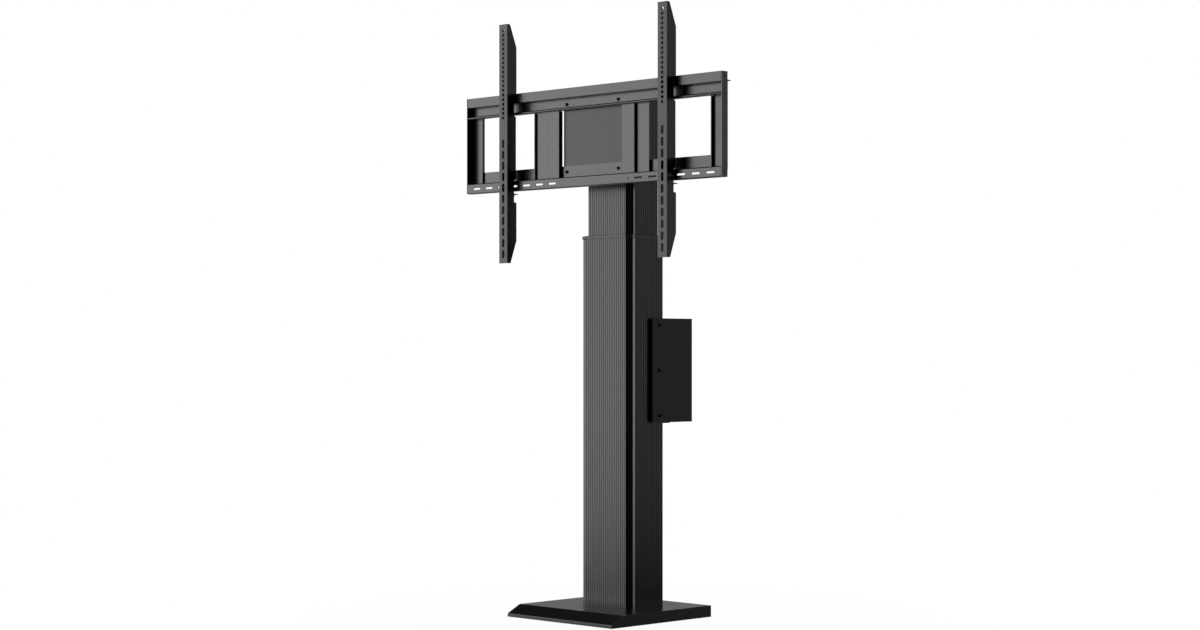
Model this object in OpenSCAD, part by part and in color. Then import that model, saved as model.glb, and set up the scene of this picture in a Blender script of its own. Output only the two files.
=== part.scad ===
// Motorised floor lift for a large flat screen: a weighted base, a two-stage ribbed column with a
// spindle drive inside, a rail frame on top and two sliding arms that take the screen.
// Millimetres. The origin is on the floor, on the column's axis. The front faces -Y, and Z is up.

/* [Base] */
// Width of the base
base_w = 389; // [350:1:440]
// Reach of the base in front of the column's axis
base_front = 240.7; // [200:0.1:300]
// Reach of the base behind the column's axis
base_back = 137.5; // [115:0.1:180]
// Height of the base's top above the floor
base_h = 32; // [28:0.5:45]
// Height of the upright lip along the base's front
lip_h = 10.6; // [10:0.1:16]
// Depth of the slope behind the lip
slope_d = 44; // [20:1:70]
// Sheet thickness of the base cover
cover_t = 2; // [1.5:0.1:3]
// Thickness of the ballast plate in the base
ballast_t = 6; // [4:0.5:7]
// Thickness of the anti-slip mat under the base
mat_t = 1.5; // [1:0.1:2]
// Distance of the mat's edge from the cover's edge
mat_inset = 8; // [5:1:30]
// Side of the square foot plate that carries the column
foot_w = 226; // [215:1:260]
// How far the foot plate's middle lies in front of the column's axis
foot_shift = 21; // [0:1:30]
// Thickness of the foot plate
foot_t = 6; // [5:0.5:10]

/* [Outer column] */
// Width of the outer column
col_w = 194.4; // [190:0.1:204]
// Depth of the outer column
col_d = 133.5; // [130:0.1:143]
// Corner cut of the outer column
col_cut = 13.5; // [10:0.1:15]
// Width of the ledge beside each corner cut of the outer column
col_ledge = 8.7; // [6:0.1:10]
// Wall of the outer column
col_wall = 3; // [2.6:0.1:3.4]
// Height of the collar's top above the floor
col_top = 1017.9; // [980:0.1:1060]
// Height of the collar
collar_h = 9; // [7:0.5:20]
// How far the collar stands out of the outer column
collar_rim = 1.8; // [1:0.1:4]
// Thickness of the collar over the column's end
collar_cap = 3; // [2:0.5:5]

/* [Inner column] */
// Gap between the columns at each side
gap_w = 10; // [9:0.1:12]
// Gap between the columns at the front and at the back
gap_d = 8; // [7.6:0.1:10]
// Corner cut of the inner column
up_cut = 15; // [13:0.1:18]
// Width of the ledge beside each corner cut of the inner column
up_ledge = 5.2; // [4:0.1:7]
// Wall of the inner column
up_wall = 2.8; // [2.5:0.1:3.2]
// Height of the inner column's lower end as shown
up_bottom = 320; // [300:1:360]
// Height of the inner column's upper end as shown
up_top = 1385; // [1370:1:1400]
// Radius of the opening for leads in the inner column's head plate
lead_r = 30; // [20:1:40]

/* [Column ribs and screw channels] */
// Distance from flute to flute on both columns
flute_pitch = 7; // [6:0.1:10]
// Width of a flute at the surface
flute_w = 1.8; // [1:0.1:3]
// Depth of a flute
flute_depth = 1.2; // [0.5:0.1:1.4]
// Least land between an edge and the first flute
flute_land = 3; // [2:0.5:10]
// Radius of the screw channels in the columns' corners
port_r = 3; // [2.5:0.1:3]
// Wall round a screw channel
port_wall = 2; // [1.5:0.1:2]
// Distance of a channel's axis from the inner face of the corner
port_in = 2.5; // [2.2:0.1:2.5]

/* [Drive] */
// Radius of the spindle
spindle_r = 8; // [6:0.5:10]
// Height of the spindle's upper end
spindle_top = 790; // [770:1:840]
// Height of the gearbox
gearbox_h = 70; // [60:1:76]
// Radius of the gearbox round the worm wheel
gearbox_r = 34; // [30:1:38]
// Distance from the spindle's axis to the motor's axis
worm_offset = 22; // [16:1:26]
// Radius of the motor
motor_r = 21; // [16:1:23]
// Gap between the motor's end and the outer column's wall
motor_gap = 6.2; // [5:0.1:20]
// Height of the thrust bearing
bearing_h = 9; // [6:0.5:12]
// Radius of the thrust bearing
bearing_r = 17; // [15:0.5:20]
// Thickness of the carrier plate under the inner column
carrier_t = 6; // [5:0.5:10]
// Radius of the nut's body
nut_r = 14; // [13:0.5:16]
// Radius of the nut's flange
nut_flange_r = 24; // [23:0.5:28]
// Length of the nut above its flange
nut_l = 36; // [26:1:50]
// Height of the glide pads
pad_h = 60; // [40:1:80]
// Width of the glide pads on the front and the back
pad_w = 100; // [60:1:110]
// Width of the glide pads on the sides
pad_side_w = 50; // [40:1:54]

/* [Frame] */
// Width of the rail frame
frame_w = 950; // [900:1:1000]
// Height of the frame's top above the floor
frame_top = 1410.2; // [1405:0.1:1430]
// Height of the frame
frame_h = 264.6; // [255:0.1:280]
// Distance of the frame's front from the column's axis
frame_y = 134; // [130:0.1:150]
// Depth from the frame's front to its webs
web_depth = 18.4; // [15:0.1:22]
// Sheet thickness of the rails
rail_t = 2.5; // [2:0.1:3]
// Height of the upper rail's front band
band_top_h = 26.8; // [22:0.1:32]
// Height of the lower rail's front band
band_low_h = 27.4; // [22:0.1:32]
// Height of the upper rail's web between its band and its nose
web_top_h = 24.1; // [20:0.1:30]
// Height of the nose along the upper rail's lower edge
nose_h = 6.8; // [6.6:0.1:8]
// Height of the lower rail's web above its band
web_low_h = 31; // [26:0.1:36]
// Length of an accessory slot in the lower rail
slot_l = 29; // [18:0.5:34]
// Width of an accessory slot
slot_w = 5; // [4:0.1:8]
// Distance from slot to slot
slot_pitch = 50; // [40:1:60]
// Sheet thickness of the end members and struts
side_t = 2.4; // [2:0.1:3]
// Width of an end member's web
end_w = 50; // [40:1:70]
// Depth of the lip along an end member's web
end_lip = 9; // [6:0.5:10]
// Depth of the flange that an end member carries at the back
end_flange = 16; // [8:0.5:24]
// Distance from the middle to a strut's inner wall
strut_in = 115.4; // [113:0.2:130]
// Width of a strut's raised face
strut_face = 48.8; // [36:0.2:50]
// Width of a strut's web
strut_web = 50; // [40:0.5:60]
// Distance from the rails' webs forward to a strut's raised face
strut_depth = 9.3; // [8.5:0.1:11]

/* [Adapter] */
// Half width of the adapter's front plate
plate_half = 110; // [104:0.5:112]
// Sheet thickness of the adapter
adapter_t = 4; // [3:0.5:5]
// Height of the adapter's lower edge above the floor
adapter_low = 1165; // [1150:1:1176]
// Height of the adapter's upper edge above the floor
adapter_high = 1384; // [1380:1:1400]
// How far the adapter's cheeks reach behind the column's axis
cheek_back = 46; // [42:1:54]
// Distance from the middle to the frame screws
frame_screw_x = 96; // [95:0.5:102]
// Radius of the adapter's bolts
bolt_r = 4; // [3:0.5:5]
// Distance between the adapter's bolts, front to back
bolt_dy = 26; // [20:1:26]
// Distance between the adapter's bolts, low to high
bolt_dz = 130; // [100:1:150]

/* [Arms] */
// Distance from the middle to an arm as shown
arm_x = 296.5; // [260:0.5:320]
// Length of an arm
arm_l = 650; // [600:1:700]
// Height of an arm's upper end above the frame's top
arm_rise = 188.1; // [160:0.1:200]
// Width of an arm
arm_w = 32; // [28:0.5:40]
// Sheet thickness of an arm
arm_t = 2.5; // [2:0.1:3]
// Distance of an arm's front from the frame's front
arm_gap = 27.8; // [26:0.1:34]
// Depth of an arm's flanges in the notches at the rails
notch_d = 25.6; // [22:0.1:25.8]
// Depth of an arm's flanges between the rails
mid_d = 32.6; // [28:0.1:33]
// Depth of an arm's flanges above and below the rails
arm_d = 34.6; // [34.2:0.1:38]
// Depth of the flanges at the arm's upper end
arm_top_d = 10.6; // [8:0.1:16]
// Depth of the flanges at the arm's lower end
arm_low_d = 12.6; // [8:0.1:16]
// Length of the flanges' taper at each end
taper_l = 62; // [40:1:90]
// Diameter of the round holes and width of the long holes in the arms
hole_d = 9; // [6:0.1:9.4]
// Distance from round hole to round hole
hole_pitch = 12.5; // [12:0.1:14]
// Number of round holes
hole_n = 20; // [12:1:20]
// Length of a long hole
long_l = 23.5; // [16:0.5:26]
// Distance from long hole to long hole
long_pitch = 30; // [29:0.5:32]
// Number of long holes
long_n = 11; // [8:1:11]
// Distance of the lock plates below the frame
lock_drop = 7; // [5:0.1:8]
// How far a lock plate reaches back from the frame's front
lock_reach = 15; // [12:0.5:20]

/* [Rear housing] */
// Height of the housing's lower edge above the floor
box_low = 519.5; // [450:0.5:560]
// Height of the housing
box_h = 277; // [250:1:320]
// Distance from the column's axis to the housing's front edges
box_front = 0; // [-10:1:10]
// Distance from the column's axis to the housing's back
box_back = 160; // [140:1:200]
// Gap between the column's side and the housing's side wall
box_gap = 7.8; // [6:0.1:10]
// Sheet thickness of the housing
box_t = 2; // [1.5:0.1:3]
// Radius of the housing's front corners
box_r = 9; // [4:0.5:12]
// Distance between the housing's screws
box_screw_pitch = 120.3; // [100:0.1:122]
// Distance of the housing's screws from the column's axis
box_screw_y = 29.5; // [24:0.5:36]
// Width of the control unit
unit_w = 150; // [120:1:180]
// Height of the control unit
unit_h = 210; // [160:1:230]
// Depth of the control unit
unit_d = 46; // [30:1:60]

/* [Hidden] */
$fn = 64;

// Clearances: pieces that touch, pieces that run, and loose holes round screws
seat = 0.05;
run = 0.3;
fit = 0.1;
loose = 0.3;
eps = 0.01;
over = 1;

// Base
ballast_z = mat_t + ballast_t;
slope_angle = atan((base_h - lip_h) / slope_d);
foot_z = base_h - foot_t;
foot_gap = 0.4;
post_r = 6;
post_in = 26;
cover_screw_r = 2.5;
cover_screw_head = 4.5;
cover_screw_head_h = 2.5;
cover_screw_grip = 9;
cover_screw_l = ballast_t + cover_screw_grip;
post_bore_l = 12;
spacer_r = 9;
bolt_head_r = 5;
bolt_head_h = 3.5;
column_bolt_up = 40;

// Columns
up_w = col_w - 2 * gap_w;
up_d = col_d - 2 * gap_d;
outer_z = base_h;
outer_end = col_top - collar_cap;
mouth = 0.8;
outer_port = port_at(col_w, col_d, col_cut, col_ledge, col_wall);
inner_port = port_at(up_w, up_d, up_cut, up_ledge, up_wall);
inner_room = [col_w / 2 - col_wall, col_d / 2 - col_wall];
head_t = 5;
port_screw_l = 22;
port_screw_head_r = 5;
port_screw_head_h = 3;

// Drive
gear_flange = 86;
gear_flange_t = 8;
gear_screw_at = 35;
gear_screw_r = 2.5;
gear_screw_head_r = 4.5;
gear_screw_head_h = 3;
worm_z = base_h + gearbox_h / 2;
worm_r = 19;
worm_cap = 4;
motor_end = inner_room[0] - motor_gap;
motor_cap_l = 8;
motor_cap_step = 3;
gear_boss_r = 20;
gear_boss_h = 8;
journal_depth = 50;
bearing_z = base_h + gearbox_h;
thrust_r = 13;
thrust_h = 8;
stop_r = 12;
stop_t = 6;
stop_screw_h = 3;
nut_flange_t = 8;
nut_screw_pcd_r = 19;
nut_screw_r = 2;
nut_screw_head_r = 3.8;
nut_screw_head_h = 2.4;
nut_z = up_bottom - carrier_t - nut_flange_t;

// Frame
front = -frame_y;
web_front = front + web_depth;
web_back = web_front + rail_t;
frame_back = web_back + side_t;
frame_low = frame_top - frame_h;
shelf_top = frame_top - band_top_h;
nose_top = shelf_top - web_top_h;
nose_low = nose_top - nose_h;
shelf_low = frame_low + band_low_h;
web_low = shelf_low + web_low_h;
rail_bend = 2;
end_in = frame_w / 2 - side_t;
rail_half = end_in - side_t / 2;
end_web_rise = 18;
end_web_drop = 20;
end_web_low = frame_low + end_web_rise;
end_web_high = frame_top - end_web_drop;
strut_low = shelf_low + run;
strut_high = nose_low - run;
slot_rise = 12.9;
slot_z = frame_low + slot_rise;
slot_end = 40;
left_slot_n = 7;
right_slot_n = 6;
left_slots = [for (i = [0:left_slot_n - 1]) slot_end - frame_w / 2 + i * slot_pitch];
right_slots = [for (i = [0:right_slot_n - 1]) frame_w / 2 - slot_end - i * slot_pitch];
round_hole_step = 37;
round_hole_x = right_slots[right_slot_n - 1] - round_hole_step;
screw_high_drop = 2.7;
screw_low_drop = 0.3;
screw_high = (shelf_top + nose_top) / 2 - screw_high_drop;
screw_low = (shelf_low + web_low) / 2 - screw_low_drop;
frame_screw_r = 3;
frame_screw_head_r = 4.6;
frame_screw_head_h = 2.6;
frame_screw_end = 3;
end_corner_r = 4.5;
side_bend = 0.55 * side_t;
tool_hole_r = 2.1;
tool_hole_depth = 1.2;
tool_hole_in = 12.5;

// Adapter
cheek_in = up_w / 2 + seat;
cheek_out = cheek_in + adapter_t;
adapter_front = web_back;
adapter_back = adapter_front + adapter_t;
cheek_corner = 8;
bolt_y = -19;
bolt_z = (adapter_low + adapter_high) / 2;
backing_t = 6;
backing_half = [bolt_dy / 2 + 8, bolt_dz / 2 + 14];
adapter_bolt_end = 2;
adapter_bolt_head_r = 1.7 * bolt_r;
adapter_bolt_head_h = bolt_r;

// Arms
arm_front = front - arm_gap;
arm_top = frame_top + arm_rise;
arm_low = arm_top - arm_l;
hook_in = arm_gap + rail_t + run;
hook_depth = 12;
hook_low = frame_top - hook_depth;
hook_seat = frame_top + run;
first_hole = 17;
last_long = 25;
notch_drop = 31;
notch_low = frame_low - notch_drop;
mid_margin = [5, 6];
mid_low = shelf_low + mid_margin[0];
mid_high = nose_low - mid_margin[1];
notch_cut = 3;
notch_step = 2;
lock_t = 2.5;
lock_z = frame_low - lock_drop - lock_t;
lock_half = arm_w / 2 - arm_t - seat;
lock_ear = 11;
lock_ear_l = 14;
lock_screw_r = 3;
lock_ear_gap = 2;
lock_screw_in = 8;
lock_screw_y = front + lock_screw_in;
lock_head_r = 5;
lock_head_h = 4;

// Rear housing
box_half = col_w / 2 + box_gap + box_t;
box_mid = box_low + box_h / 2;
box_bend = 3;
box_lip_in = col_w / 2 + run;
box_shelf_gap = 14;
box_shelf_y = col_d / 2 - col_cut + box_shelf_gap;
box_slot_w = 7;
box_slot_l = 14;
box_screw_r = 2;
box_screw_head_r = 4.4;
box_screw_head_h = 2.2;
box_spacer_r = 5;
inlet_w = 28;
inlet_d = 20;
inlet_h = 24;
inlet_x = 62;
inlet_y = 84;
inlet_flange = 3;
inlet_rim = [5, 3];
inlet_wall = 3;
inlet_socket = 18;
unit_foot_t = 4;
unit_foot_out = 12;
unit_foot_in = 20;

// Corner screw channel of a column: its axis in the quarter where X and Y are positive
function port_at(w, d, cut, ledge, wall) =
    let (back = (wall + port_in) / sqrt(2))
    [w / 2 - ledge - cut / 2 - back, d / 2 - cut / 2 - back];

// Column outline, set in by t (or out, where t is negative)
function section(w, d, cut, ledge, t) =
    let (
        fx = w / 2 - ledge - cut + t * (1 - sqrt(2)),
        fy = d / 2 - t,
        lx = w / 2 - ledge + t * (1 - sqrt(2)),
        ly = d / 2 - cut - t,
        sx = w / 2 - t
    )
    [
        [-fx, -fy], [fx, -fy], [lx, -ly], [sx, -ly], [sx, ly], [lx, ly],
        [fx, fy], [-fx, fy], [-lx, ly], [-sx, ly], [-sx, -ly], [-lx, -ly]
    ];

// Flutes along the straight edge from a to b, cut towards the direction inward
function flutes(a, b, inward) =
    let (
        len = norm(b - a),
        dir = (b - a) / len,
        count = floor((len - 2 * flute_land - flute_w) / flute_pitch) + 1,
        first = (len - (count - 1) * flute_pitch) / 2
    )
    [
        for (i = [0:count - 1])
            let (mid = a + dir * (first + i * flute_pitch))
            each [
                mid - dir * flute_w / 2,
                mid - dir * flute_w / 4 + inward * flute_depth,
                mid + dir * flute_w / 4 + inward * flute_depth,
                mid + dir * flute_w / 2
            ]
    ];

// Fluted outline of a column, once round from the front left corner
function fluted(w, d, cut, ledge) =
    let (p = section(w, d, cut, ledge, 0))
    concat(
        [p[0]], flutes(p[0], p[1], [0, 1]), [p[1], p[2], p[3]],
        flutes(p[3], p[4], [-1, 0]), [p[4], p[5], p[6]],
        flutes(p[6], p[7], [0, -1]), [p[7], p[8], p[9]],
        flutes(p[9], p[10], [1, 0]), [p[10], p[11]]
    );

module at_corners(p) {
    for (x = [-1, 1], y = [-1, 1]) translate([x * p[0], y * p[1]]) children();
}

// Hollow column profile with a screw channel in each corner
module profile(w, d, cut, ledge, wall) {
    port = port_at(w, d, cut, ledge, wall);
    difference() {
        union() {
            difference() {
                polygon(fluted(w, d, cut, ledge));
                polygon(section(w, d, cut, ledge, wall));
            }
            at_corners(port) circle(port_r + port_wall);
        }
        at_corners(port) circle(port_r);
    }
}

// Bent sheet: a strip of thickness t along a path of square turns, bent to the radius r
module bent(path, t, r) {
    last = len(path) - 1;
    for (i = [0:last - 1]) {
        d = (path[i + 1] - path[i]) / norm(path[i + 1] - path[i]);
        a = path[i] + d * (i == 0 ? 0 : r);
        b = path[i + 1] - d * (i == last - 1 ? 0 : r);
        side = [abs(d[1]), abs(d[0])] * t / 2;
        low = [min(a[0], b[0]), min(a[1], b[1])] - side;
        high = [max(a[0], b[0]), max(a[1], b[1])] + side;
        translate(low) square(high - low);
    }
    for (i = [1:last - 1]) {
        d = (path[i] - path[i - 1]) / norm(path[i] - path[i - 1]);
        e = (path[i + 1] - path[i]) / norm(path[i + 1] - path[i]);
        corner = d - e;
        box = r + t;
        translate(path[i] - corner * r) intersection() {
            difference() {
                circle(r + t / 2);
                circle(r - t / 2);
            }
            translate([corner[0] > 0 ? 0 : -box, corner[1] > 0 ? 0 : -box]) square(box);
        }
    }
}

// Sheet section in the plane of Y and Z, drawn along X over the width w
module along_x(w) {
    rotate([90, 0, 90]) translate([0, 0, -w / 2]) linear_extrude(w) children();
}

module box(low, high) {
    translate(low) cube(high - low);
}

module rod_x(r, x0, x1, y, z) {
    translate([x0, y, z]) rotate([0, 90, 0]) cylinder(r = r, h = x1 - x0);
}

module rod_y(r, y0, y1, x, z) {
    translate([x, y0, z]) rotate([-90, 0, 0]) cylinder(r = r, h = y1 - y0);
}

// Upright long hole of width w and height h through a sheet that faces the front
module long_hole_z(w, h, x, z, y0, y1) {
    translate([x, y1, z]) rotate([90, 0, 0]) linear_extrude(y1 - y0) {
        square([w, h - w], center = true);
        for (s = [-1, 1]) translate([0, s * (h - w) / 2]) circle(w / 2);
    }
}

// Level long hole of length l and height h through a sheet that faces the front
module long_hole_x(l, h, x, z, y0, y1) {
    translate([x, y1, z]) rotate([90, 0, 0]) linear_extrude(y1 - y0) {
        square([l - h, h], center = true);
        for (s = [-1, 1]) translate([s * (l - h) / 2, 0]) circle(h / 2);
    }
}

// Cap screw along Z with its head below: head_z is the underside of the head
module screw_up(r, l, head_r, head_h, head_z) {
    translate([0, 0, head_z]) cylinder(r = head_r, h = head_h);
    translate([0, 0, head_z + head_h - eps]) cylinder(r = r, h = l);
}

// Base

module anti_slip_mat() {
    color("#1c1c1d") box(
        [-base_w / 2 + mat_inset, -base_front + mat_inset, 0],
        [base_w / 2 - mat_inset, base_back - mat_inset, mat_t]
    );
}

// Places of the cover's posts, near its corners and clear of its slope
post_spots = [
    for (x = [-1, 1])
        for (y = [-base_front + slope_d + post_in, base_back - post_in])
            [x * (base_w / 2 - post_in), y]
];

module ballast_plate() {
    edge = cover_t + run;
    color("#3a3b3d") difference() {
        box(
            [-base_w / 2 + edge, -base_front + edge, mat_t],
            [base_w / 2 - edge, base_back - edge, ballast_z]
        );
        at_corners(outer_port) translate([0, 0, mat_t - over]) {
            cylinder(r = port_r + loose, h = ballast_t + 2 * over);
            cylinder(r = bolt_head_r + loose, h = bolt_head_h + loose + over);
        }
        for (p = post_spots) translate([p[0], p[1], mat_t - over]) {
            cylinder(r = cover_screw_r + loose, h = ballast_t + 2 * over);
            cylinder(r = cover_screw_head + loose, h = cover_screw_head_h + loose + over);
        }
    }
}

module base_cover() {
    rise = cover_t / cos(slope_angle);
    inner_front = lip_h + cover_t * tan(slope_angle) - rise;
    inner_slope = (base_h - cover_t - lip_h + rise) / tan(slope_angle);
    color("#2e2f31") {
        difference() {
            along_x(base_w) polygon([
                [-base_front, mat_t], [-base_front, lip_h], [-base_front + slope_d, base_h],
                [base_back, base_h], [base_back, mat_t]
            ]);
            along_x(base_w - 2 * cover_t) polygon([
                [-base_front + cover_t, mat_t - over], [-base_front + cover_t, inner_front],
                [-base_front + inner_slope, base_h - cover_t],
                [base_back - cover_t, base_h - cover_t], [base_back - cover_t, mat_t - over]
            ]);
            box(
                [-foot_w / 2 - foot_gap, -foot_shift - foot_w / 2 - foot_gap, base_h - cover_t - over],
                [foot_w / 2 + foot_gap, -foot_shift + foot_w / 2 + foot_gap, base_h + over]
            );
        }
        for (p = post_spots) translate([p[0], p[1], ballast_z]) difference() {
            cylinder(r = post_r, h = base_h - cover_t - ballast_z + eps);
            translate([0, 0, -eps]) cylinder(r = cover_screw_r + fit, h = post_bore_l);
        }
    }
}

module cover_screws() {
    color("#55575a") for (p = post_spots) translate([p[0], p[1], 0])
        screw_up(
            cover_screw_r, cover_screw_l - cover_screw_head_h,
            cover_screw_head, cover_screw_head_h, mat_t + loose
        );
}

module foot_spacers() {
    color("#6d6f72") at_corners(outer_port) translate([0, 0, ballast_z]) difference() {
        cylinder(r = spacer_r, h = foot_z - ballast_z);
        translate([0, 0, -over]) cylinder(r = port_r + loose, h = base_h);
    }
}

module foot_plate() {
    color("#2e2f31") difference() {
        box(
            [-foot_w / 2, -foot_shift - foot_w / 2, foot_z],
            [foot_w / 2, -foot_shift + foot_w / 2, base_h]
        );
        at_corners(outer_port) translate([0, 0, foot_z - over])
            cylinder(r = port_r + loose, h = foot_t + 2 * over);
        at_corners([gear_screw_at, gear_screw_at]) translate([0, 0, foot_z - over])
            cylinder(r = gear_screw_r + loose, h = foot_t + 2 * over);
    }
}

module column_bolts() {
    color("#55575a") at_corners(outer_port) screw_up(
        port_r - fit, base_h + column_bolt_up - mat_t,
        bolt_head_r, bolt_head_h, mat_t + loose
    );
}

// Columns

module outer_column() {
    color("#3b3c3f") difference() {
        translate([0, 0, outer_z]) linear_extrude(outer_end - outer_z)
            profile(col_w, col_d, col_cut, col_ledge, col_wall);
        for (x = [-1, 1]) box_screw_spots() rod_x(
            box_screw_r + fit, x * col_w / 2 - 2 * col_wall, x * col_w / 2 + 2 * col_wall, 0, 0
        );
    }
}

module column_collar() {
    color("#303133") difference() {
        translate([0, 0, col_top - collar_h]) linear_extrude(collar_h)
            polygon(section(col_w, col_d, col_cut, col_ledge, -collar_rim));
        translate([0, 0, col_top - collar_h - over]) linear_extrude(collar_h - collar_cap + over)
            polygon(section(col_w, col_d, col_cut, col_ledge, -fit));
        translate([0, 0, col_top - collar_h]) linear_extrude(collar_h + over)
            polygon(section(up_w, up_d, up_cut, up_ledge, -mouth));
    }
}

// Four glide pads between two outlines given as half width and half depth
module pads(z, inner, outer) {
    for (s = [-1, 1]) {
        translate([-pad_w / 2, s > 0 ? inner[1] : -outer[1], z])
            cube([pad_w, outer[1] - inner[1], pad_h]);
        translate([s > 0 ? inner[0] : -outer[0], -pad_side_w / 2, z])
            cube([outer[0] - inner[0], pad_side_w, pad_h]);
    }
}

module upper_glides() {
    color("#d8d8d2") pads(
        outer_end - seat - pad_h,
        [up_w / 2 + run, up_d / 2 + run],
        inner_room - [seat, seat]
    );
}

module lower_glides() {
    color("#d8d8d2") pads(
        up_bottom,
        [up_w / 2 + seat, up_d / 2 + seat],
        inner_room - [run, run]
    );
}

module inner_column() {
    color("#35363a") difference() {
        translate([0, 0, up_bottom]) linear_extrude(up_top - up_bottom)
            profile(up_w, up_d, up_cut, up_ledge, up_wall);
        for (x = [-1, 1]) at_bolts() rod_x(
            bolt_r + loose, x * up_w / 2 - 2 * up_wall, x * up_w / 2 + 2 * up_wall, 0, 0
        );
    }
}

module head_plate() {
    color("#303133") difference() {
        translate([0, 0, up_top]) linear_extrude(head_t)
            polygon(section(up_w, up_d, up_cut, up_ledge, 0));
        translate([0, 0, up_top - over]) {
            cylinder(r = lead_r, h = head_t + 2 * over);
            at_corners(inner_port) cylinder(r = port_r + loose, h = head_t + 2 * over);
        }
    }
}

module head_screws() {
    color("#55575a") at_corners(inner_port) translate([0, 0, up_top + head_t]) {
        cylinder(r = port_screw_head_r, h = port_screw_head_h);
        translate([0, 0, -port_screw_l]) cylinder(r = port_r - fit, h = port_screw_l + eps);
    }
}

// Drive

module gearbox() {
    color("#7b7d80") difference() {
        union() {
            translate([-gear_flange / 2, -gear_flange / 2, base_h])
                cube([gear_flange, gear_flange, gear_flange_t]);
            translate([0, 0, base_h]) cylinder(r = gearbox_r, h = gearbox_h - gear_boss_h);
            translate([0, 0, base_h]) cylinder(r = gear_boss_r, h = gearbox_h);
            rod_x(worm_r, -gearbox_r - worm_cap, gearbox_r, worm_offset, worm_z);
        }
        translate([0, 0, bearing_z - journal_depth])
            cylinder(r = spindle_r + seat, h = journal_depth + over);
        at_corners([gear_screw_at, gear_screw_at]) translate([0, 0, base_h - over])
            cylinder(r = gear_screw_r + fit, h = gear_flange_t + 2 * over);
    }
}

module gearbox_screws() {
    color("#55575a") at_corners([gear_screw_at, gear_screw_at]) screw_up(
        gear_screw_r, foot_t + gear_flange_t,
        gear_screw_head_r, gear_screw_head_h, foot_z - gear_screw_head_h
    );
}

module motor() {
    color("#9a9c9f") {
        rod_x(motor_r, gearbox_r, motor_end - motor_cap_l, worm_offset, worm_z);
        rod_x(motor_r - motor_cap_step, motor_end - motor_cap_l - eps, motor_end, worm_offset, worm_z);
    }
}

module thrust_bearing() {
    color("#b9bbbd") translate([0, 0, bearing_z]) rotate_extrude() difference() {
        translate([spindle_r + seat, 0]) square([bearing_r - spindle_r - seat, bearing_h]);
        translate([bearing_r, bearing_h / 2]) circle(bearing_h / 5);
    }
}

module spindle() {
    color("#c4c6c8") {
        translate([0, 0, bearing_z - journal_depth + run])
            cylinder(r = spindle_r, h = spindle_top - bearing_z + journal_depth - run);
        translate([0, 0, bearing_z + bearing_h + seat]) cylinder(r = thrust_r, h = thrust_h);
    }
}

module spindle_stop() {
    color("#8a8c8f") translate([0, 0, spindle_top]) {
        cylinder(r = stop_r, h = stop_t);
        translate([0, 0, stop_t - eps]) cylinder(r = stop_r / 2, h = stop_screw_h);
    }
}

module spindle_nut() {
    color("#c9a24b") translate([0, 0, nut_z]) difference() {
        union() {
            cylinder(r = nut_flange_r, h = nut_flange_t);
            cylinder(r = nut_r, h = nut_flange_t + nut_l);
        }
        translate([0, 0, -over]) cylinder(r = spindle_r + seat, h = nut_flange_t + nut_l + 2 * over);
        nut_screw_spots() translate([0, 0, -over])
            cylinder(r = nut_screw_r + loose, h = nut_flange_t + 2 * over);
    }
}

module nut_screw_spots() {
    for (k = [0:3]) rotate(45 + 90 * k) translate([nut_screw_pcd_r, 0]) children();
}

module nut_screws() {
    color("#55575a") translate([0, 0, nut_z - nut_screw_head_h]) nut_screw_spots()
        screw_up(nut_screw_r, nut_flange_t + carrier_t, nut_screw_head_r, nut_screw_head_h, 0);
}

module nut_carrier() {
    color("#6d6f72") difference() {
        translate([0, 0, up_bottom - carrier_t]) linear_extrude(carrier_t)
            polygon(section(up_w, up_d, up_cut, up_ledge, 0));
        translate([0, 0, up_bottom - carrier_t - over]) {
            cylinder(r = nut_r + fit, h = carrier_t + 2 * over);
            nut_screw_spots() cylinder(r = nut_screw_r + fit, h = carrier_t + 2 * over);
            at_corners(inner_port) cylinder(r = port_r + loose, h = carrier_t + 2 * over);
        }
    }
}

module carrier_screws() {
    color("#55575a") at_corners(inner_port) screw_up(
        port_r - fit, port_screw_l, port_screw_head_r, port_screw_head_h,
        up_bottom - carrier_t - port_screw_head_h
    );
}

// Adapter

// The four bolt places of one side, seen along X
module at_bolts() {
    for (y = [-1, 1], z = [-1, 1])
        translate([0, bolt_y + y * bolt_dy / 2, bolt_z + z * bolt_dz / 2]) children();
}

module backing_plates() {
    outer = up_w / 2 - up_wall - seat;
    color("#6d6f72") for (s = [-1, 1]) difference() {
        box(
            [s > 0 ? outer - backing_t : -outer, bolt_y - backing_half[0], bolt_z - backing_half[1]],
            [s > 0 ? outer : backing_t - outer, bolt_y + backing_half[0], bolt_z + backing_half[1]]
        );
        at_bolts() rod_x(bolt_r + fit, s * outer - 2 * backing_t, s * outer + 2 * backing_t, 0, 0);
    }
}

module adapter_bracket() {
    color("#2f3032") difference() {
        union() {
            box([-plate_half, adapter_front, adapter_low], [plate_half, adapter_back, adapter_high]);
            for (s = [-1, 1]) box(
                [s > 0 ? cheek_in : -cheek_out, adapter_back - eps, adapter_low],
                [s > 0 ? cheek_out : -cheek_in, cheek_back, adapter_high]
            );
        }
        for (s = [-1, 1]) at_bolts()
            rod_x(bolt_r + loose, s * cheek_in - 2 * adapter_t, s * cheek_in + 2 * adapter_t, 0, 0);
        for (x = [-1, 1], z = [screw_low, screw_high])
            rod_y(frame_screw_r + fit, adapter_front - over, adapter_back + over, x * frame_screw_x, z);
        // The cheeks' rear corners are cut back
        for (z = [adapter_low, adapter_high]) translate([0, cheek_back, z]) rotate([45, 0, 0])
            cube([3 * plate_half, cheek_corner, cheek_corner], center = true);
    }
}

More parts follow.
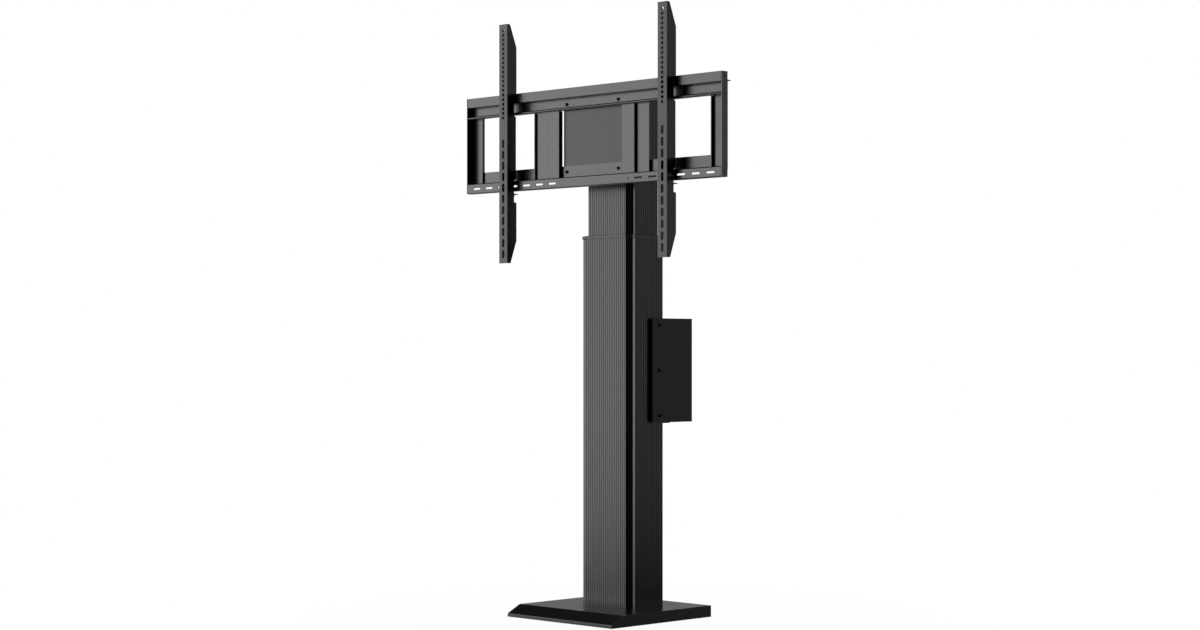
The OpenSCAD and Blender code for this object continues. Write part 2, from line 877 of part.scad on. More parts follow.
module adapter_bolts() {
    inner = up_w / 2 - up_wall - seat - backing_t - adapter_bolt_end;
    color("#4a4c4f") for (s = [-1, 1]) at_bolts() {
        rod_x(bolt_r, s > 0 ? inner : -cheek_out, s > 0 ? cheek_out : -inner, 0, 0);
        rod_x(
            adapter_bolt_head_r,
            s > 0 ? cheek_out - eps : -cheek_out - adapter_bolt_head_h,
            s > 0 ? cheek_out + adapter_bolt_head_h : -cheek_out + eps, 0, 0
        );
    }
}

// Frame

module frame_screws() {
    color("#232425") for (x = [-1, 1], z = [screw_low, screw_high]) {
        rod_y(frame_screw_r, web_front - eps, adapter_back + frame_screw_end, x * frame_screw_x, z);
        rod_y(frame_screw_head_r, web_front - frame_screw_head_h, web_front, x * frame_screw_x, z);
    }
}

module frame_screw_holes() {
    for (x = [-1, 1], z = [screw_low, screw_high])
        rod_y(frame_screw_r + loose, web_front - over, web_back + over, x * frame_screw_x, z);
}

module top_rail() {
    y0 = front + rail_t / 2;
    y1 = web_front + rail_t / 2;
    hem = (nose_h - rail_t) / 2 - eps;
    color("#38393c") difference() {
        along_x(2 * rail_half) union() {
            bent([
                [y0, frame_top], [y0, shelf_top + rail_t / 2], [y1, shelf_top + rail_t / 2],
                [y1, (shelf_top + nose_top) / 2]
            ], rail_t, rail_bend);
            bent([
                [y1, (shelf_top + nose_top) / 2 + eps], [y1, nose_top - rail_t / 2],
                [y0, nose_top - rail_t / 2], [y0, nose_low + rail_t / 2],
                [y1 - rail_t, nose_low + rail_t / 2]
            ], rail_t, hem);
        }
        frame_screw_holes();
    }
}

module bottom_rail() {
    y0 = front + rail_t / 2;
    y1 = web_front + rail_t / 2;
    color("#38393c") difference() {
        along_x(2 * rail_half) bent([
            [y1, frame_low + rail_t / 2], [y0, frame_low + rail_t / 2],
            [y0, shelf_low - rail_t / 2], [y1, shelf_low - rail_t / 2], [y1, web_low]
        ], rail_t, rail_bend);
        for (x = concat(left_slots, right_slots))
            long_hole_x(slot_l, slot_w, x, slot_z, front - over, front + rail_t + over);
        rod_y(slot_w / 2, front - over, front + rail_t + over, round_hole_x, slot_z);
        frame_screw_holes();
        // The web stops where the end members stand on the shelf
        for (s = [-1, 1]) translate([s * frame_w / 2, web_back, (shelf_low + web_low + over) / 2])
            cube([2 * (end_w + run), 2 * web_depth, web_low + over - shelf_low], center = true);
    }
}

// End member on the right: a channel that closes the frame's end
module end_member() {
    x1 = frame_w / 2 - side_t / 2;
    x0 = frame_w / 2 - end_w + side_t / 2;
    yb = web_back + side_t / 2;
    difference() {
        union() {
            translate([0, 0, frame_low]) linear_extrude(frame_h) bent(
                [[x1, front], [x1, yb], [x0, yb], [x0, yb - end_lip]], side_t, side_bend
            );
            box(
                [x0 - side_t / 2, frame_back - eps, end_web_high - side_t],
                [rail_half - side_t, frame_back + end_flange, end_web_high]
            );
        }
        // The web ends short of the rails' outer edges
        for (z = [[frame_low - over, end_web_low], [end_web_high, frame_top + over]])
            box([0, web_back, z[0]], [frame_w, frame_back + over, z[1]]);
        // The outer wall's rear corners are rounded
        for (z = [-1, 1]) translate([0, frame_back, frame_low + frame_h * (1 + z) / 2]) difference() {
            box([end_in, -end_corner_r, -end_corner_r], [frame_w, over, end_corner_r]);
            rod_x(end_corner_r, end_in - over, frame_w + over, -end_corner_r, -z * end_corner_r);
        }
        // The lip leaves room for the rails
        for (z = [[frame_low - over, shelf_low + run], [nose_low - run, frame_top + over]])
            box([0, front - over, z[0]], [rail_half, web_back, z[1]]);
        for (z = [frame_low + tool_hole_in, frame_top - tool_hole_in])
            rod_x(tool_hole_r, frame_w / 2 - tool_hole_depth, frame_w / 2 + over, front + web_depth / 2, z);
    }
}

module right_end_member() {
    color("#2c2d2f") end_member();
}

module left_end_member() {
    color("#2c2d2f") mirror([1, 0, 0]) end_member();
}

// Strut on the right: a bent hat section from rail to rail
module strut() {
    h = side_t / 2;
    x0 = strut_in + h;
    x1 = strut_in + strut_face - h;
    x2 = x1 + strut_web;
    yb = web_front - seat - h;
    yf = web_front - strut_depth + h;
    difference() {
        translate([0, 0, strut_low]) linear_extrude(strut_high - strut_low) bent(
            [[x0, web_back], [x0, yf], [x1, yf], [x1, yb], [x2, yb], [x2, yf]], side_t, side_bend
        );
        // The inner leg ends in front of the lower rail's web
        box([0, web_front - seat, strut_low - over], [x1, web_back + over, web_low + run]);
    }
}

module right_strut() {
    color("#35363a") strut();
}

module left_strut() {
    color("#35363a") mirror([1, 0, 0]) strut();
}

// Arms

// Side view of an arm's flanges: depth behind the arm's front, and height
module arm_outline() {
    polygon([
        [0, arm_low], [arm_low_d, arm_low], [arm_d, arm_low + taper_l],
        [arm_d, notch_low - notch_cut], [arm_d - notch_cut, notch_low], [notch_d, notch_low],
        [notch_d, mid_low - notch_cut], [mid_d, mid_low], [mid_d, mid_high],
        [notch_d + notch_step, mid_high + notch_cut], [notch_d, mid_high + notch_cut + notch_step],
        [notch_d, hook_seat], [hook_in, hook_seat], [hook_in, hook_low], [arm_d, hook_low],
        [arm_d, arm_top - taper_l], [arm_top_d, arm_top], [0, arm_top]
    ]);
}

module arm() {
    difference() {
        intersection() {
            translate([0, arm_front, arm_low]) linear_extrude(arm_l) difference() {
                translate([-arm_w / 2, 0]) square([arm_w, arm_d + over]);
                translate([arm_t - arm_w / 2, arm_t]) square([arm_w - 2 * arm_t, arm_d + over]);
            }
            translate([0, arm_front, 0]) along_x(arm_w + 2 * over) arm_outline();
        }
        for (k = [0:hole_n - 1]) rod_y(
            hole_d / 2, arm_front - over, arm_front + arm_t + over,
            0, arm_top - first_hole - k * hole_pitch
        );
        for (k = [0:long_n - 1]) long_hole_z(
            hole_d, long_l, 0, arm_low + last_long + k * long_pitch,
            arm_front - over, arm_front + arm_t + over
        );
    }
}

// Lock plate of an arm: it reaches under the lower rail and carries the lock screw
module lock_plate() {
    y0 = front - lock_ear_l - lock_ear_gap;
    difference() {
        union() {
            box([-lock_half, y0, lock_z], [lock_half, front + lock_reach, lock_z + lock_t]);
            for (s = [-1, 1]) box(
                [s > 0 ? lock_half - lock_t : -lock_half, y0, lock_z - lock_ear],
                [s > 0 ? lock_half : lock_t - lock_half, y0 + lock_ear_l, lock_z + eps]
            );
        }
        translate([0, lock_screw_y, lock_z - over])
            cylinder(r = lock_screw_r + fit, h = lock_t + 2 * over);
    }
}

module lock_screw() {
    translate([0, lock_screw_y, lock_z - lock_head_h - run]) {
        cylinder(r = lock_head_r, h = lock_head_h);
        cylinder(r = lock_screw_r, h = frame_low - lock_z + lock_head_h);
    }
}

module left_arm() {
    color("#303133") translate([-arm_x, 0]) arm();
}

module right_arm() {
    color("#303133") translate([arm_x, 0]) arm();
}

module left_lock_plate() {
    color("#3a3b3d") translate([-arm_x, 0]) lock_plate();
}

module right_lock_plate() {
    color("#3a3b3d") translate([arm_x, 0]) lock_plate();
}

module left_lock_screw() {
    color("#55575a") translate([-arm_x, 0]) lock_screw();
}

module right_lock_screw() {
    color("#55575a") translate([arm_x, 0]) lock_screw();
}

// Rear housing

module rear_housing() {
    h = box_t / 2;
    top = box_low + box_h;
    color("#242526") difference() {
        union() {
            translate([0, 0, box_low]) linear_extrude(box_h) bent([
                [box_lip_in, box_front + h], [box_half - h, box_front + h],
                [box_half - h, box_back - h], [h - box_half, box_back - h],
                [h - box_half, box_front + h], [-box_lip_in, box_front + h]
            ], box_t, box_bend);
            for (z = [box_low, top - box_t]) box(
                [-box_half + h, box_shelf_y, z], [box_half - h, box_back - h, z + box_t]
            );
        }
        for (z = [-1, 1]) translate([0, box_front, box_mid + z * box_h / 2]) corner_cut(z);
        for (s = [-1, 1]) translate([s * (box_half - h), 0]) box_screw_spots()
            rotate(90) long_hole_z(box_slot_w, box_slot_l, 0, 0, -box_t, box_t);
        box(
            [inlet_x - inlet_w / 2 - fit, inlet_y - inlet_d / 2 - fit, box_low - over],
            [inlet_x + inlet_w / 2 + fit, inlet_y + inlet_d / 2 + fit, box_low + box_t + over]
        );
    }
}

// The three screw places of one side, seen along X
module box_screw_spots() {
    for (k = [-1:1]) translate([0, box_screw_y, box_mid + k * box_screw_pitch]) children();
}

// What rounds a front corner of the housing's side walls: z is 1 above and -1 below
module corner_cut(z) {
    difference() {
        box(
            [-box_half - over, -over, z > 0 ? -box_r : -over],
            [box_half + over, box_r, z > 0 ? over : box_r]
        );
        rod_x(box_r, -box_half - 2 * over, box_half + 2 * over, box_r, -z * box_r);
    }
}

module housing_spacers() {
    near = col_w / 2 + seat;
    far = col_w / 2 + box_gap - seat;
    color("#55575a") for (s = [-1, 1]) box_screw_spots() difference() {
        rod_x(box_spacer_r, s > 0 ? near : -far, s > 0 ? far : -near, 0, 0);
        rod_x(box_screw_r + fit, s * near - 2 * box_gap, s * near + 2 * box_gap, 0, 0);
    }
}

module housing_screws() {
    tip = col_w / 2 - col_wall;
    color("#1f2021") for (s = [-1, 1]) box_screw_spots() {
        rod_x(box_screw_r, s > 0 ? tip : -box_half - eps, s > 0 ? box_half + eps : -tip, 0, 0);
        rod_x(
            box_screw_head_r, s > 0 ? box_half : -box_half - box_screw_head_h,
            s > 0 ? box_half + box_screw_head_h : -box_half, 0, 0
        );
    }
}

module control_unit() {
    back = box_back - box_t - seat;
    color("#1d1e20") {
        box(
            [-unit_w / 2, back - unit_d, box_mid - unit_h / 2],
            [unit_w / 2, back - unit_foot_t, box_mid + unit_h / 2]
        );
        box(
            [-unit_w / 2 - unit_foot_out, back - unit_foot_t - eps, box_mid - unit_h / 2 + unit_foot_in],
            [unit_w / 2 + unit_foot_out, back, box_mid + unit_h / 2 - unit_foot_in]
        );
    }
}

module mains_inlet() {
    color("#161617") translate([inlet_x, inlet_y, box_low]) difference() {
        union() {
            translate([-inlet_w / 2, -inlet_d / 2, 0]) cube([inlet_w, inlet_d, inlet_h]);
            translate([-inlet_w / 2 - inlet_rim[0], -inlet_d / 2 - inlet_rim[1], -inlet_flange])
                cube([inlet_w + 2 * inlet_rim[0], inlet_d + 2 * inlet_rim[1], inlet_flange]);
        }
        translate([-inlet_w / 2 + inlet_wall, -inlet_d / 2 + inlet_wall, -inlet_flange - over])
            cube([inlet_w - 2 * inlet_wall, inlet_d - 2 * inlet_wall, inlet_socket + over]);
    }
}

anti_slip_mat();
ballast_plate();
base_cover();
cover_screws();
foot_spacers();
foot_plate();
column_bolts();
outer_column();
column_collar();
upper_glides();
gearbox();
gearbox_screws();
motor();
thrust_bearing();
spindle();
spindle_stop();
spindle_nut();
nut_screws();
nut_carrier();
carrier_screws();
lower_glides();
inner_column();
head_plate();
head_screws();
backing_plates();
adapter_bracket();
adapter_bolts();
frame_screws();
top_rail();
bottom_rail();
left_end_member();
right_end_member();
left_strut();
right_strut();
left_arm();
left_lock_plate();
left_lock_screw();
right_arm();
right_lock_plate();
right_lock_screw();
rear_housing();
housing_spacers();
housing_screws();
control_unit();
mains_inlet();
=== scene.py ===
import math

import bmesh
import bpy
from mathutils import Matrix, Vector


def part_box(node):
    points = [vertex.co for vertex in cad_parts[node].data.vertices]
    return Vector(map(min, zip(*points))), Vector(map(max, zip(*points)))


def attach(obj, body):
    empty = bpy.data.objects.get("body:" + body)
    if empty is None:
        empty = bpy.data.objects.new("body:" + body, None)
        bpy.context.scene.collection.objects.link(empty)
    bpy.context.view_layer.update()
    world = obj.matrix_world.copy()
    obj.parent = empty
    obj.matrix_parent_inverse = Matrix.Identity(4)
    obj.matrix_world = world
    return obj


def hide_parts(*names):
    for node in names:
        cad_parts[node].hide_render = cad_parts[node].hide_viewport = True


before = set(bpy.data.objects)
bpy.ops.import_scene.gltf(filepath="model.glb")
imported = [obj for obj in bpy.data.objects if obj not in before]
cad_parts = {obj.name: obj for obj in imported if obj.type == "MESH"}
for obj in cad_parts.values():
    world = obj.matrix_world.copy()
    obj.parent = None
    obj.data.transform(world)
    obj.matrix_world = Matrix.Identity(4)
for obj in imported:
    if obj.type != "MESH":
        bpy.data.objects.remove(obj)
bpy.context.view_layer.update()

# Motorised floor lift for a large flat screen. Sizes are in millimetres, as in the part's source,
# and a finished mesh is in metres. The front faces -Y, and Z is up.

MM = 0.001

# Camera
LENS = 69.277
SENSOR = 36.0
CAMERA_PLACE = (4.31172, -4.44404, 0.71902)
CAMERA_TURN = (90.0, 0.0, 44.70)
CAMERA_SHIFT_UP = 0.02707

# Sheet, plates and clearances
RAIL_T = 2.5
SIDE_T = 2.4
ARM_T = 2.5
COVER_T = 2.0
HOUSING_T = 2.0
ADAPTER_T = 4.0
SHEET_EDGE = 0.35
RUN = 0.3
SEAT = 0.05
OVER = 1.0
BEND_STEPS = 6

# Frame
WEB_DEPTH = 18.4
BAND_TOP = 26.8
BAND_LOW = 27.4
RAIL_BEND = 2.0
WEB_TOP = 24.1
NOSE = 6.8
HEM_BEND = (NOSE - RAIL_T) / 2 - 0.01
WEB_LOW = 31.0
SLOT_L = 29.0
SLOT_W = 5.0
SLOT_PITCH = 50.0
SLOT_RISE = 12.9
SLOT_END = 40.0
LEFT_SLOTS = 7
RIGHT_SLOTS = 6
ROUND_HOLE_STEP = 37.0
END_W = 50.0
END_LIP = 9.0
END_FLANGE = 16.0
FLANGE_ROOT = 0.2
END_WEB = (18.0, 20.0)
END_CORNER = 4.5
SIDE_BEND = 0.55 * SIDE_T
TOOL_HOLE_R = 2.1
TOOL_HOLE_DEPTH = 1.2
TOOL_HOLE_IN = 12.5
STRUT_IN = 115.4
STRUT_FACE = 48.8
STRUT_WEB = 50.0
STRUT_DEPTH = 9.3
ADAPTER_CORNER = 5.0
CHEEK_CORNER = 8.0
CHEEK_ROUND = 4.0
BACKING_T = 6.0
WELD_L = 50.0
WELD_SIZE = 3.0
WELD_STEP = 2.2
WELD_IN = 12.0

# Arms
NOTCH_D = 25.6
MID_D = 32.6
ARM_D = 34.6
ARM_TOP_D = 10.6
ARM_LOW_D = 12.6
TAPER = 62.0
HOOK_IN = 30.6
HOOK_DEPTH = 12.0
NOTCH_DROP = 31.0
MID_MARGIN = (5.0, 6.0)
NOTCH_CUT = 3.0
NOTCH_STEP = 2.0
HOLE_D = 9.0
HOLE_PITCH = 12.5
HOLES = 20
FIRST_HOLE = 17.0
LONG_L = 23.5
LONG_PITCH = 30.0
LONG_HOLES = 11
LAST_LONG = 25.0

# Columns
FLUTE_PITCH = 7.0
FLUTE_W = 1.8
FLUTE_DEPTH = 1.2
FLUTE_LAND = 3.0
FLUTE_EDGE = 0.22
COLUMN_EDGE = 0.9
PORT_R = 3.0
PORT_WALL = 2.0
PORT_IN = 2.5
OUTER = {"w": 194.4, "d": 133.5, "cut": 13.5, "ledge": 8.7, "wall": 3.0}
INNER = {"w": 174.4, "d": 117.5, "cut": 15.0, "ledge": 5.2, "wall": 2.8}
LEAD_R = 30.0
COLLAR_RIM = 1.8
COLLAR_CAP = 3.0
COLLAR_GAP = 0.1
COLLAR_EDGE = 1.5
MOUTH = 0.8
MOUTH_EDGE = 1.2

# Base
LIP = 10.6
SLOPE = 44.0
COVER_BENDS = (0, 1.2, 1.6, 1.2, 0)
FOOT_GAP = 0.4
POST_IN = 26.0
POST_R = 6.0
POST_BORE_R = 2.6
POST_BORE_DEPTH = 12.0
MAT_RIB = 0.5
MAT_PITCH = 6.0

# Rear housing
HOUSING_BEND = 3.0
HOUSING_CORNER = 9.0
HOUSING_SCREW_Y = 29.5
HOUSING_SCREW_PITCH = 120.3
HOUSING_SLOT = (14.0, 7.0)
HOUSING_SHELF_Y = 67.25
INLET_FLANGE = (5.0, 3.0)
INLET_GAP = 0.1

# Screws: the head's radius and height, and the shank's radius
FRAME_SCREW = (4.6, 2.6, 3.0)
FRAME_SCREW_BORE = 3.3
HOUSING_SCREW = (4.4, 2.2, 2.0)
ADAPTER_BOLT = (6.8, 4.0, 4.0)
BOLT_END = 2.0
HEAD_SCREW = (5.0, 3.0, 2.9)
COVER_SCREW = (4.5, 2.5, 2.5)

# Spindle
THREAD_LEAD = 12.0
THREAD_R = 7.0
THREAD_RIDGE = 0.95
THREAD_START = 14.0
THREAD_STOP = 4.0
CORE_R = 7.2
TAIL_L = 50.0
TAIL_R = 8.0
TAIL_IN = 4.0
SHOULDER_H = 8.0
BEARING_H = 9.0

SIDES = {1: "right", -1: "left"}


def box_of(node):
    """The low and the high corner of a CAD node, in millimetres."""
    return [[c / MM for c in corner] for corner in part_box(node)]


def low(node):
    return box_of(node)[0]


def high(node):
    return box_of(node)[1]


# Planes that the frame and its neighbours share
FRONT = low("top_rail")[1]
WEB_FRONT = FRONT + WEB_DEPTH
WEB_BACK = WEB_FRONT + RAIL_T
FRAME_BACK = WEB_BACK + SIDE_T
FRAME_LOW = low("bottom_rail")[2]
FRAME_TOP = high("top_rail")[2]
SHELF_TOP = FRAME_TOP - BAND_TOP
NOSE_TOP = SHELF_TOP - WEB_TOP
NOSE_LOW = NOSE_TOP - NOSE
SHELF_LOW = FRAME_LOW + BAND_LOW
WEB_LOW_TOP = SHELF_LOW + WEB_LOW
FRAME_HALF = high("right_end_member")[0]
RAIL_HALF = high("top_rail")[0]


# Meshes

def plane_point(axis, a, b, c):
    """The point with a and b across the axis and c along it."""
    return {"x": (c, a, b), "y": (a, c, b), "z": (a, b, c)}[axis]


def prism(outline, axis, start, end, bm=None):
    """A closed outline, drawn out along an axis into a solid."""
    bm = bm or bmesh.new()
    ends = [[bm.verts.new(plane_point(axis, a, b, c)) for a, b in outline] for c in (start, end)]
    faces = [bm.faces.new(ends[0]), bm.faces.new(ends[1])]
    count = len(outline)
    for i in range(count):
        j = (i + 1) % count
        faces.append(bm.faces.new((ends[0][i], ends[0][j], ends[1][j], ends[1][i])))
    bmesh.ops.recalc_face_normals(bm, faces=faces)
    return bm


def block(start, end):
    (x0, y0, z0), (x1, y1, z1) = start, end
    return prism([(x0, y0), (x1, y0), (x1, y1), (x0, y1)], "z", z0, z1)


def across(side, start, end):
    """A block given for the right side, or its mirror image on the left."""
    (x0, y0, z0), (x1, y1, z1) = start, end
    if side < 0:
        x0, x1 = -x1, -x0
    return block((x0, y0, z0), (x1, y1, z1))


def circle(a, b, r, steps=32):
    turn = 2 * math.pi / steps
    return [(a + r * math.cos(i * turn), b + r * math.sin(i * turn)) for i in range(steps)]


def rounded(points, radii, steps=4):
    """A closed outline with each corner rounded to its radius. One number serves all corners."""
    if not isinstance(radii, (list, tuple)):
        radii = [radii] * len(points)
    out = []
    for i, radius in enumerate(radii):
        here = Vector(points[i])
        before = Vector(points[i - 1]) - here
        after = Vector(points[(i + 1) % len(points)]) - here
        half = before.angle(after) / 2
        if radius <= 0 or half > math.radians(89):
            out.append(tuple(here))
            continue
        reach = min(radius / math.tan(half), before.length * 0.48, after.length * 0.48)
        r = reach * math.tan(half)
        centre = here + (before.normalized() + after.normalized()).normalized() * r / math.sin(half)
        first = here + before.normalized() * reach - centre
        last = here + after.normalized() * reach - centre
        turn = math.atan2(first.cross(last), first.dot(last))
        for k in range(steps + 1):
            c, s = math.cos(turn * k / steps), math.sin(turn * k / steps)
            out.append((centre.x + first.x * c - first.y * s, centre.y + first.x * s + first.y * c))
    return out


def bent_outline(path, t, r):
    """Outline of a sheet of thickness t that follows a path, bent to the radius r on its middle line."""
    path = [Vector(p) for p in path]
    left, right = [], []
    for i, p in enumerate(path):
        before = (p - path[i - 1]).normalized() if i else None
        after = (path[i + 1] - p).normalized() if i < len(path) - 1 else None
        if before is None or after is None:
            d = after or before
            across = Vector((-d.y, d.x)) * t / 2
            left.append(p + across)
            right.append(p - across)
            continue
        turn = math.atan2(before.cross(after), before.dot(after))
        side = 1 if turn > 0 else -1
        across = Vector((-before.y, before.x)) * side
        centre = p - before * r * math.tan(abs(turn) / 2) + across * r
        for k in range(BEND_STEPS + 1):
            c, s = math.cos(turn * k / BEND_STEPS), math.sin(turn * k / BEND_STEPS)
            spoke = Vector((-across.x * c + across.y * s, -across.x * s - across.y * c))
            left.append(centre + spoke * (r - side * t / 2))
            right.append(centre + spoke * (r + side * t / 2))
    outline = []
    for p in left + right[::-1]:
        if not outline or (p - outline[-1]).length > 1e-3:
            outline.append(p)
    return [tuple(p) for p in outline]


def placed(name, bm, material):
    """A bmesh made an object of the scene."""
    mesh = bpy.data.meshes.new(name)
    bm.to_mesh(mesh)
    bm.free()
    mesh.materials.append(material)
    obj = bpy.data.objects.new(name, mesh)
    bpy.context.scene.collection.objects.link(obj)
    return obj


def piece(name, bm, material):
    """A bmesh in millimetres made an object in metres, at the origin."""
    bmesh.ops.remove_doubles(bm, verts=bm.verts, dist=1e-4)
    obj = placed(name, bm, material)
    obj.data.transform(Matrix.Scale(MM, 4))
    return obj


def join(name, parts, material):
    """Several plain pieces of one material made one."""
    bm = bmesh.new()
    for part in parts:
        bm.from_mesh(part.data)
        bpy.data.objects.remove(part)
    for face in bm.faces:
        face.material_index = 0
    return placed(name, bm, material)


def settle(obj):
    """Applies an object's modifiers to its mesh."""
    depsgraph = bpy.context.evaluated_depsgraph_get()
    mesh = bpy.data.meshes.new_from_object(obj.evaluated_get(depsgraph))
    obj.modifiers.clear()
    obj.data = mesh
    return obj


def carve(obj, bm, how="DIFFERENCE"):
    """Cuts a bmesh in millimetres off an object, or joins it on, or keeps what both hold."""
    tool = piece("tool", bm, obj.data.materials[0])
    boolean = obj.modifiers.new("carve", "BOOLEAN")
    boolean.operation = how
    boolean.solver = "EXACT"
    boolean.object = tool
    settle(obj)
    bpy.data.objects.remove(tool)


def break_edges(obj, width, segments=2, angle=40):
    """Takes the sharpness off the edges that turn more than an angle."""
    bevel = obj.modifiers.new("edges", "BEVEL")
    bevel.width = width * MM
    bevel.segments = segments
    bevel.limit_method = "ANGLE"
    bevel.angle_limit = math.radians(angle)
    bevel.use_clamp_overlap = True
    settle(obj)


def smooth(obj, angle=32):
    """Smooth shading that keeps the flat faces flat, because each face counts by its area."""
    obj.data.shade_smooth()
    obj.data.set_sharp_from_angle(angle=math.radians(angle))
    weighted = obj.modifiers.new("normals", "WEIGHTED_NORMAL")
    weighted.keep_sharp = True
    settle(obj)


def show(obj, body, slot, *nodes):
    """Puts a finished piece on its body, in place of the CAD nodes that it stands for."""
    smooth(obj)
    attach(obj, body)
    if nodes:
        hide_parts(*nodes)


# Nodes

def wired(tree, kind, inputs, **settings):
    """A node with its inputs by number or name, each a value or another node's output."""
    node = tree.nodes.new(kind)
    for key, value in settings.items():
        setattr(node, key, value)
    for key, value in inputs.items():
        if isinstance(value, bpy.types.NodeSocket):
            tree.links.new(value, node.inputs[key])
        else:
            node.inputs[key].default_value = value
    return node


def ramp(tree, source, span, form="SMOOTHSTEP"):
    """A value brought from one range to another: a span holds both ends of the first, then the second."""
    inputs = {0: source, **dict(enumerate(span, 1))}
    return wired(tree, "ShaderNodeMapRange", inputs, interpolation_type=form).outputs[0]


# Geometry Nodes

class Tree:
    """A Geometry Nodes tree in the making. Its named inputs take their kind from the value given."""

    KINDS = {int: "NodeSocketInt", float: "NodeSocketFloat", tuple: "NodeSocketVector"}

    def __init__(self, name, **values):
        self.tree = bpy.data.node_groups.new(name, "GeometryNodeTree")
        self.sockets = {}
        self.interface("Geometry", "NodeSocketGeometry", "OUTPUT")
        self.interface("Geometry", "NodeSocketGeometry")
        for key, value in values.items():
            self.interface(key.replace("_", " "), self.KINDS[type(value)]).default_value = value
        self.interface("Finish", "NodeSocketMaterial")

    def interface(self, name, kind, side="INPUT"):
        socket = self.tree.interface.new_socket(name=name, in_out=side, socket_type=kind)
        self.sockets[name] = socket.identifier
        return socket

    def add(self, kind, settings=None, **links):
        inputs = {int(key[1:]): value for key, value in links.items()}
        return wired(self.tree, kind, inputs, **(settings or {}))

    def inputs(self):
        return {s.name: s for s in self.tree.nodes.new("NodeGroupInput").outputs if s.name}

    def drawn_out(self, face, depth):
        """A flat face made a closed solid, drawn out upwards."""
        top = self.add("GeometryNodeExtrudeMesh", i0=face, i2=self.vector(z=depth), i3=1.0, i4=False)
        bottom = self.add("GeometryNodeFlipFaces", i0=face)
        both = self.joined(top.outputs[0], bottom.outputs[0])
        return self.add("GeometryNodeMergeByDistance", i0=both, i2=1e-6).outputs[0]

    def joined(self, *parts):
        node = self.add("GeometryNodeJoinGeometry")
        for part in parts:
            self.tree.links.new(part, node.inputs[0])
        return node.outputs[0]

    def moved(self, geometry, shift):
        return self.add("GeometryNodeTransform", i0=geometry, i1=shift).outputs[0]

    def less(self, geometry, tool):
        node = self.add("GeometryNodeMeshBoolean", {"operation": "DIFFERENCE", "solver": "EXACT"})
        self.tree.links.new(geometry, node.inputs[0])
        self.tree.links.new(tool, node.inputs[1])
        return node.outputs[0]

    def maths(self, operation, a, b):
        return self.add("ShaderNodeMath", {"operation": operation}, i0=a, i1=b).outputs[0]

    def vector(self, x=0.0, y=0.0, z=0.0):
        return self.add("ShaderNodeCombineXYZ", i0=x, i1=y, i2=z).outputs[0]

    def close(self, geometry, finish):
        realize = self.add("GeometryNodeRealizeInstances", i0=geometry)
        paint = self.add("GeometryNodeSetMaterial", i0=realize.outputs[0], i2=finish)
        leave = self.tree.nodes.new("NodeGroupOutput")
        self.tree.links.new(paint.outputs[0], leave.inputs[0])
        return self


def hole_row_tree():
    """Cuts a row of round or long holes: with a length over the width, the holes are long."""
    t = Tree(
        "hole row", Count=2, Start=(0, 0, 0), Step=(0, 0, 0), Width=0.005, Length=0.005, Depth=0.02,
        Turn=(0, 0, 0)
    )
    i = t.inputs()
    radius = t.maths("DIVIDE", i["Width"], 2.0)
    disc = t.add("GeometryNodeMeshCircle", {"fill_type": "NGON"}, i0=32, i1=radius)
    place = t.add("ShaderNodeSeparateXYZ", i0=t.add("GeometryNodeInputPosition").outputs[0])
    side = t.add("ShaderNodeMath", {"operation": "SIGN"}, i0=place.outputs[0]).outputs[0]
    spread = t.maths("DIVIDE", t.maths("SUBTRACT", i["Length"], i["Width"]), 2.0)
    shift = t.vector(t.maths("MULTIPLY", side, spread), 0.0, t.maths("DIVIDE", i["Depth"], -2.0))
    face = t.add("GeometryNodeSetPosition", i0=disc.outputs[0], i3=shift)
    plug = t.drawn_out(face.outputs[0], i["Depth"])
    spots = t.add("GeometryNodeMeshLine", {"mode": "OFFSET"}, i0=i["Count"], i2=i["Start"], i3=i["Step"])
    turn = t.add("FunctionNodeEulerToRotation", i0=i["Turn"])
    plugs = t.add("GeometryNodeInstanceOnPoints", i0=spots.outputs[0], i2=plug, i5=turn.outputs[0])
    solid = t.add("GeometryNodeRealizeInstances", i0=plugs.outputs[0])
    return t.close(t.less(i["Geometry"], solid.outputs[0]), i["Finish"])


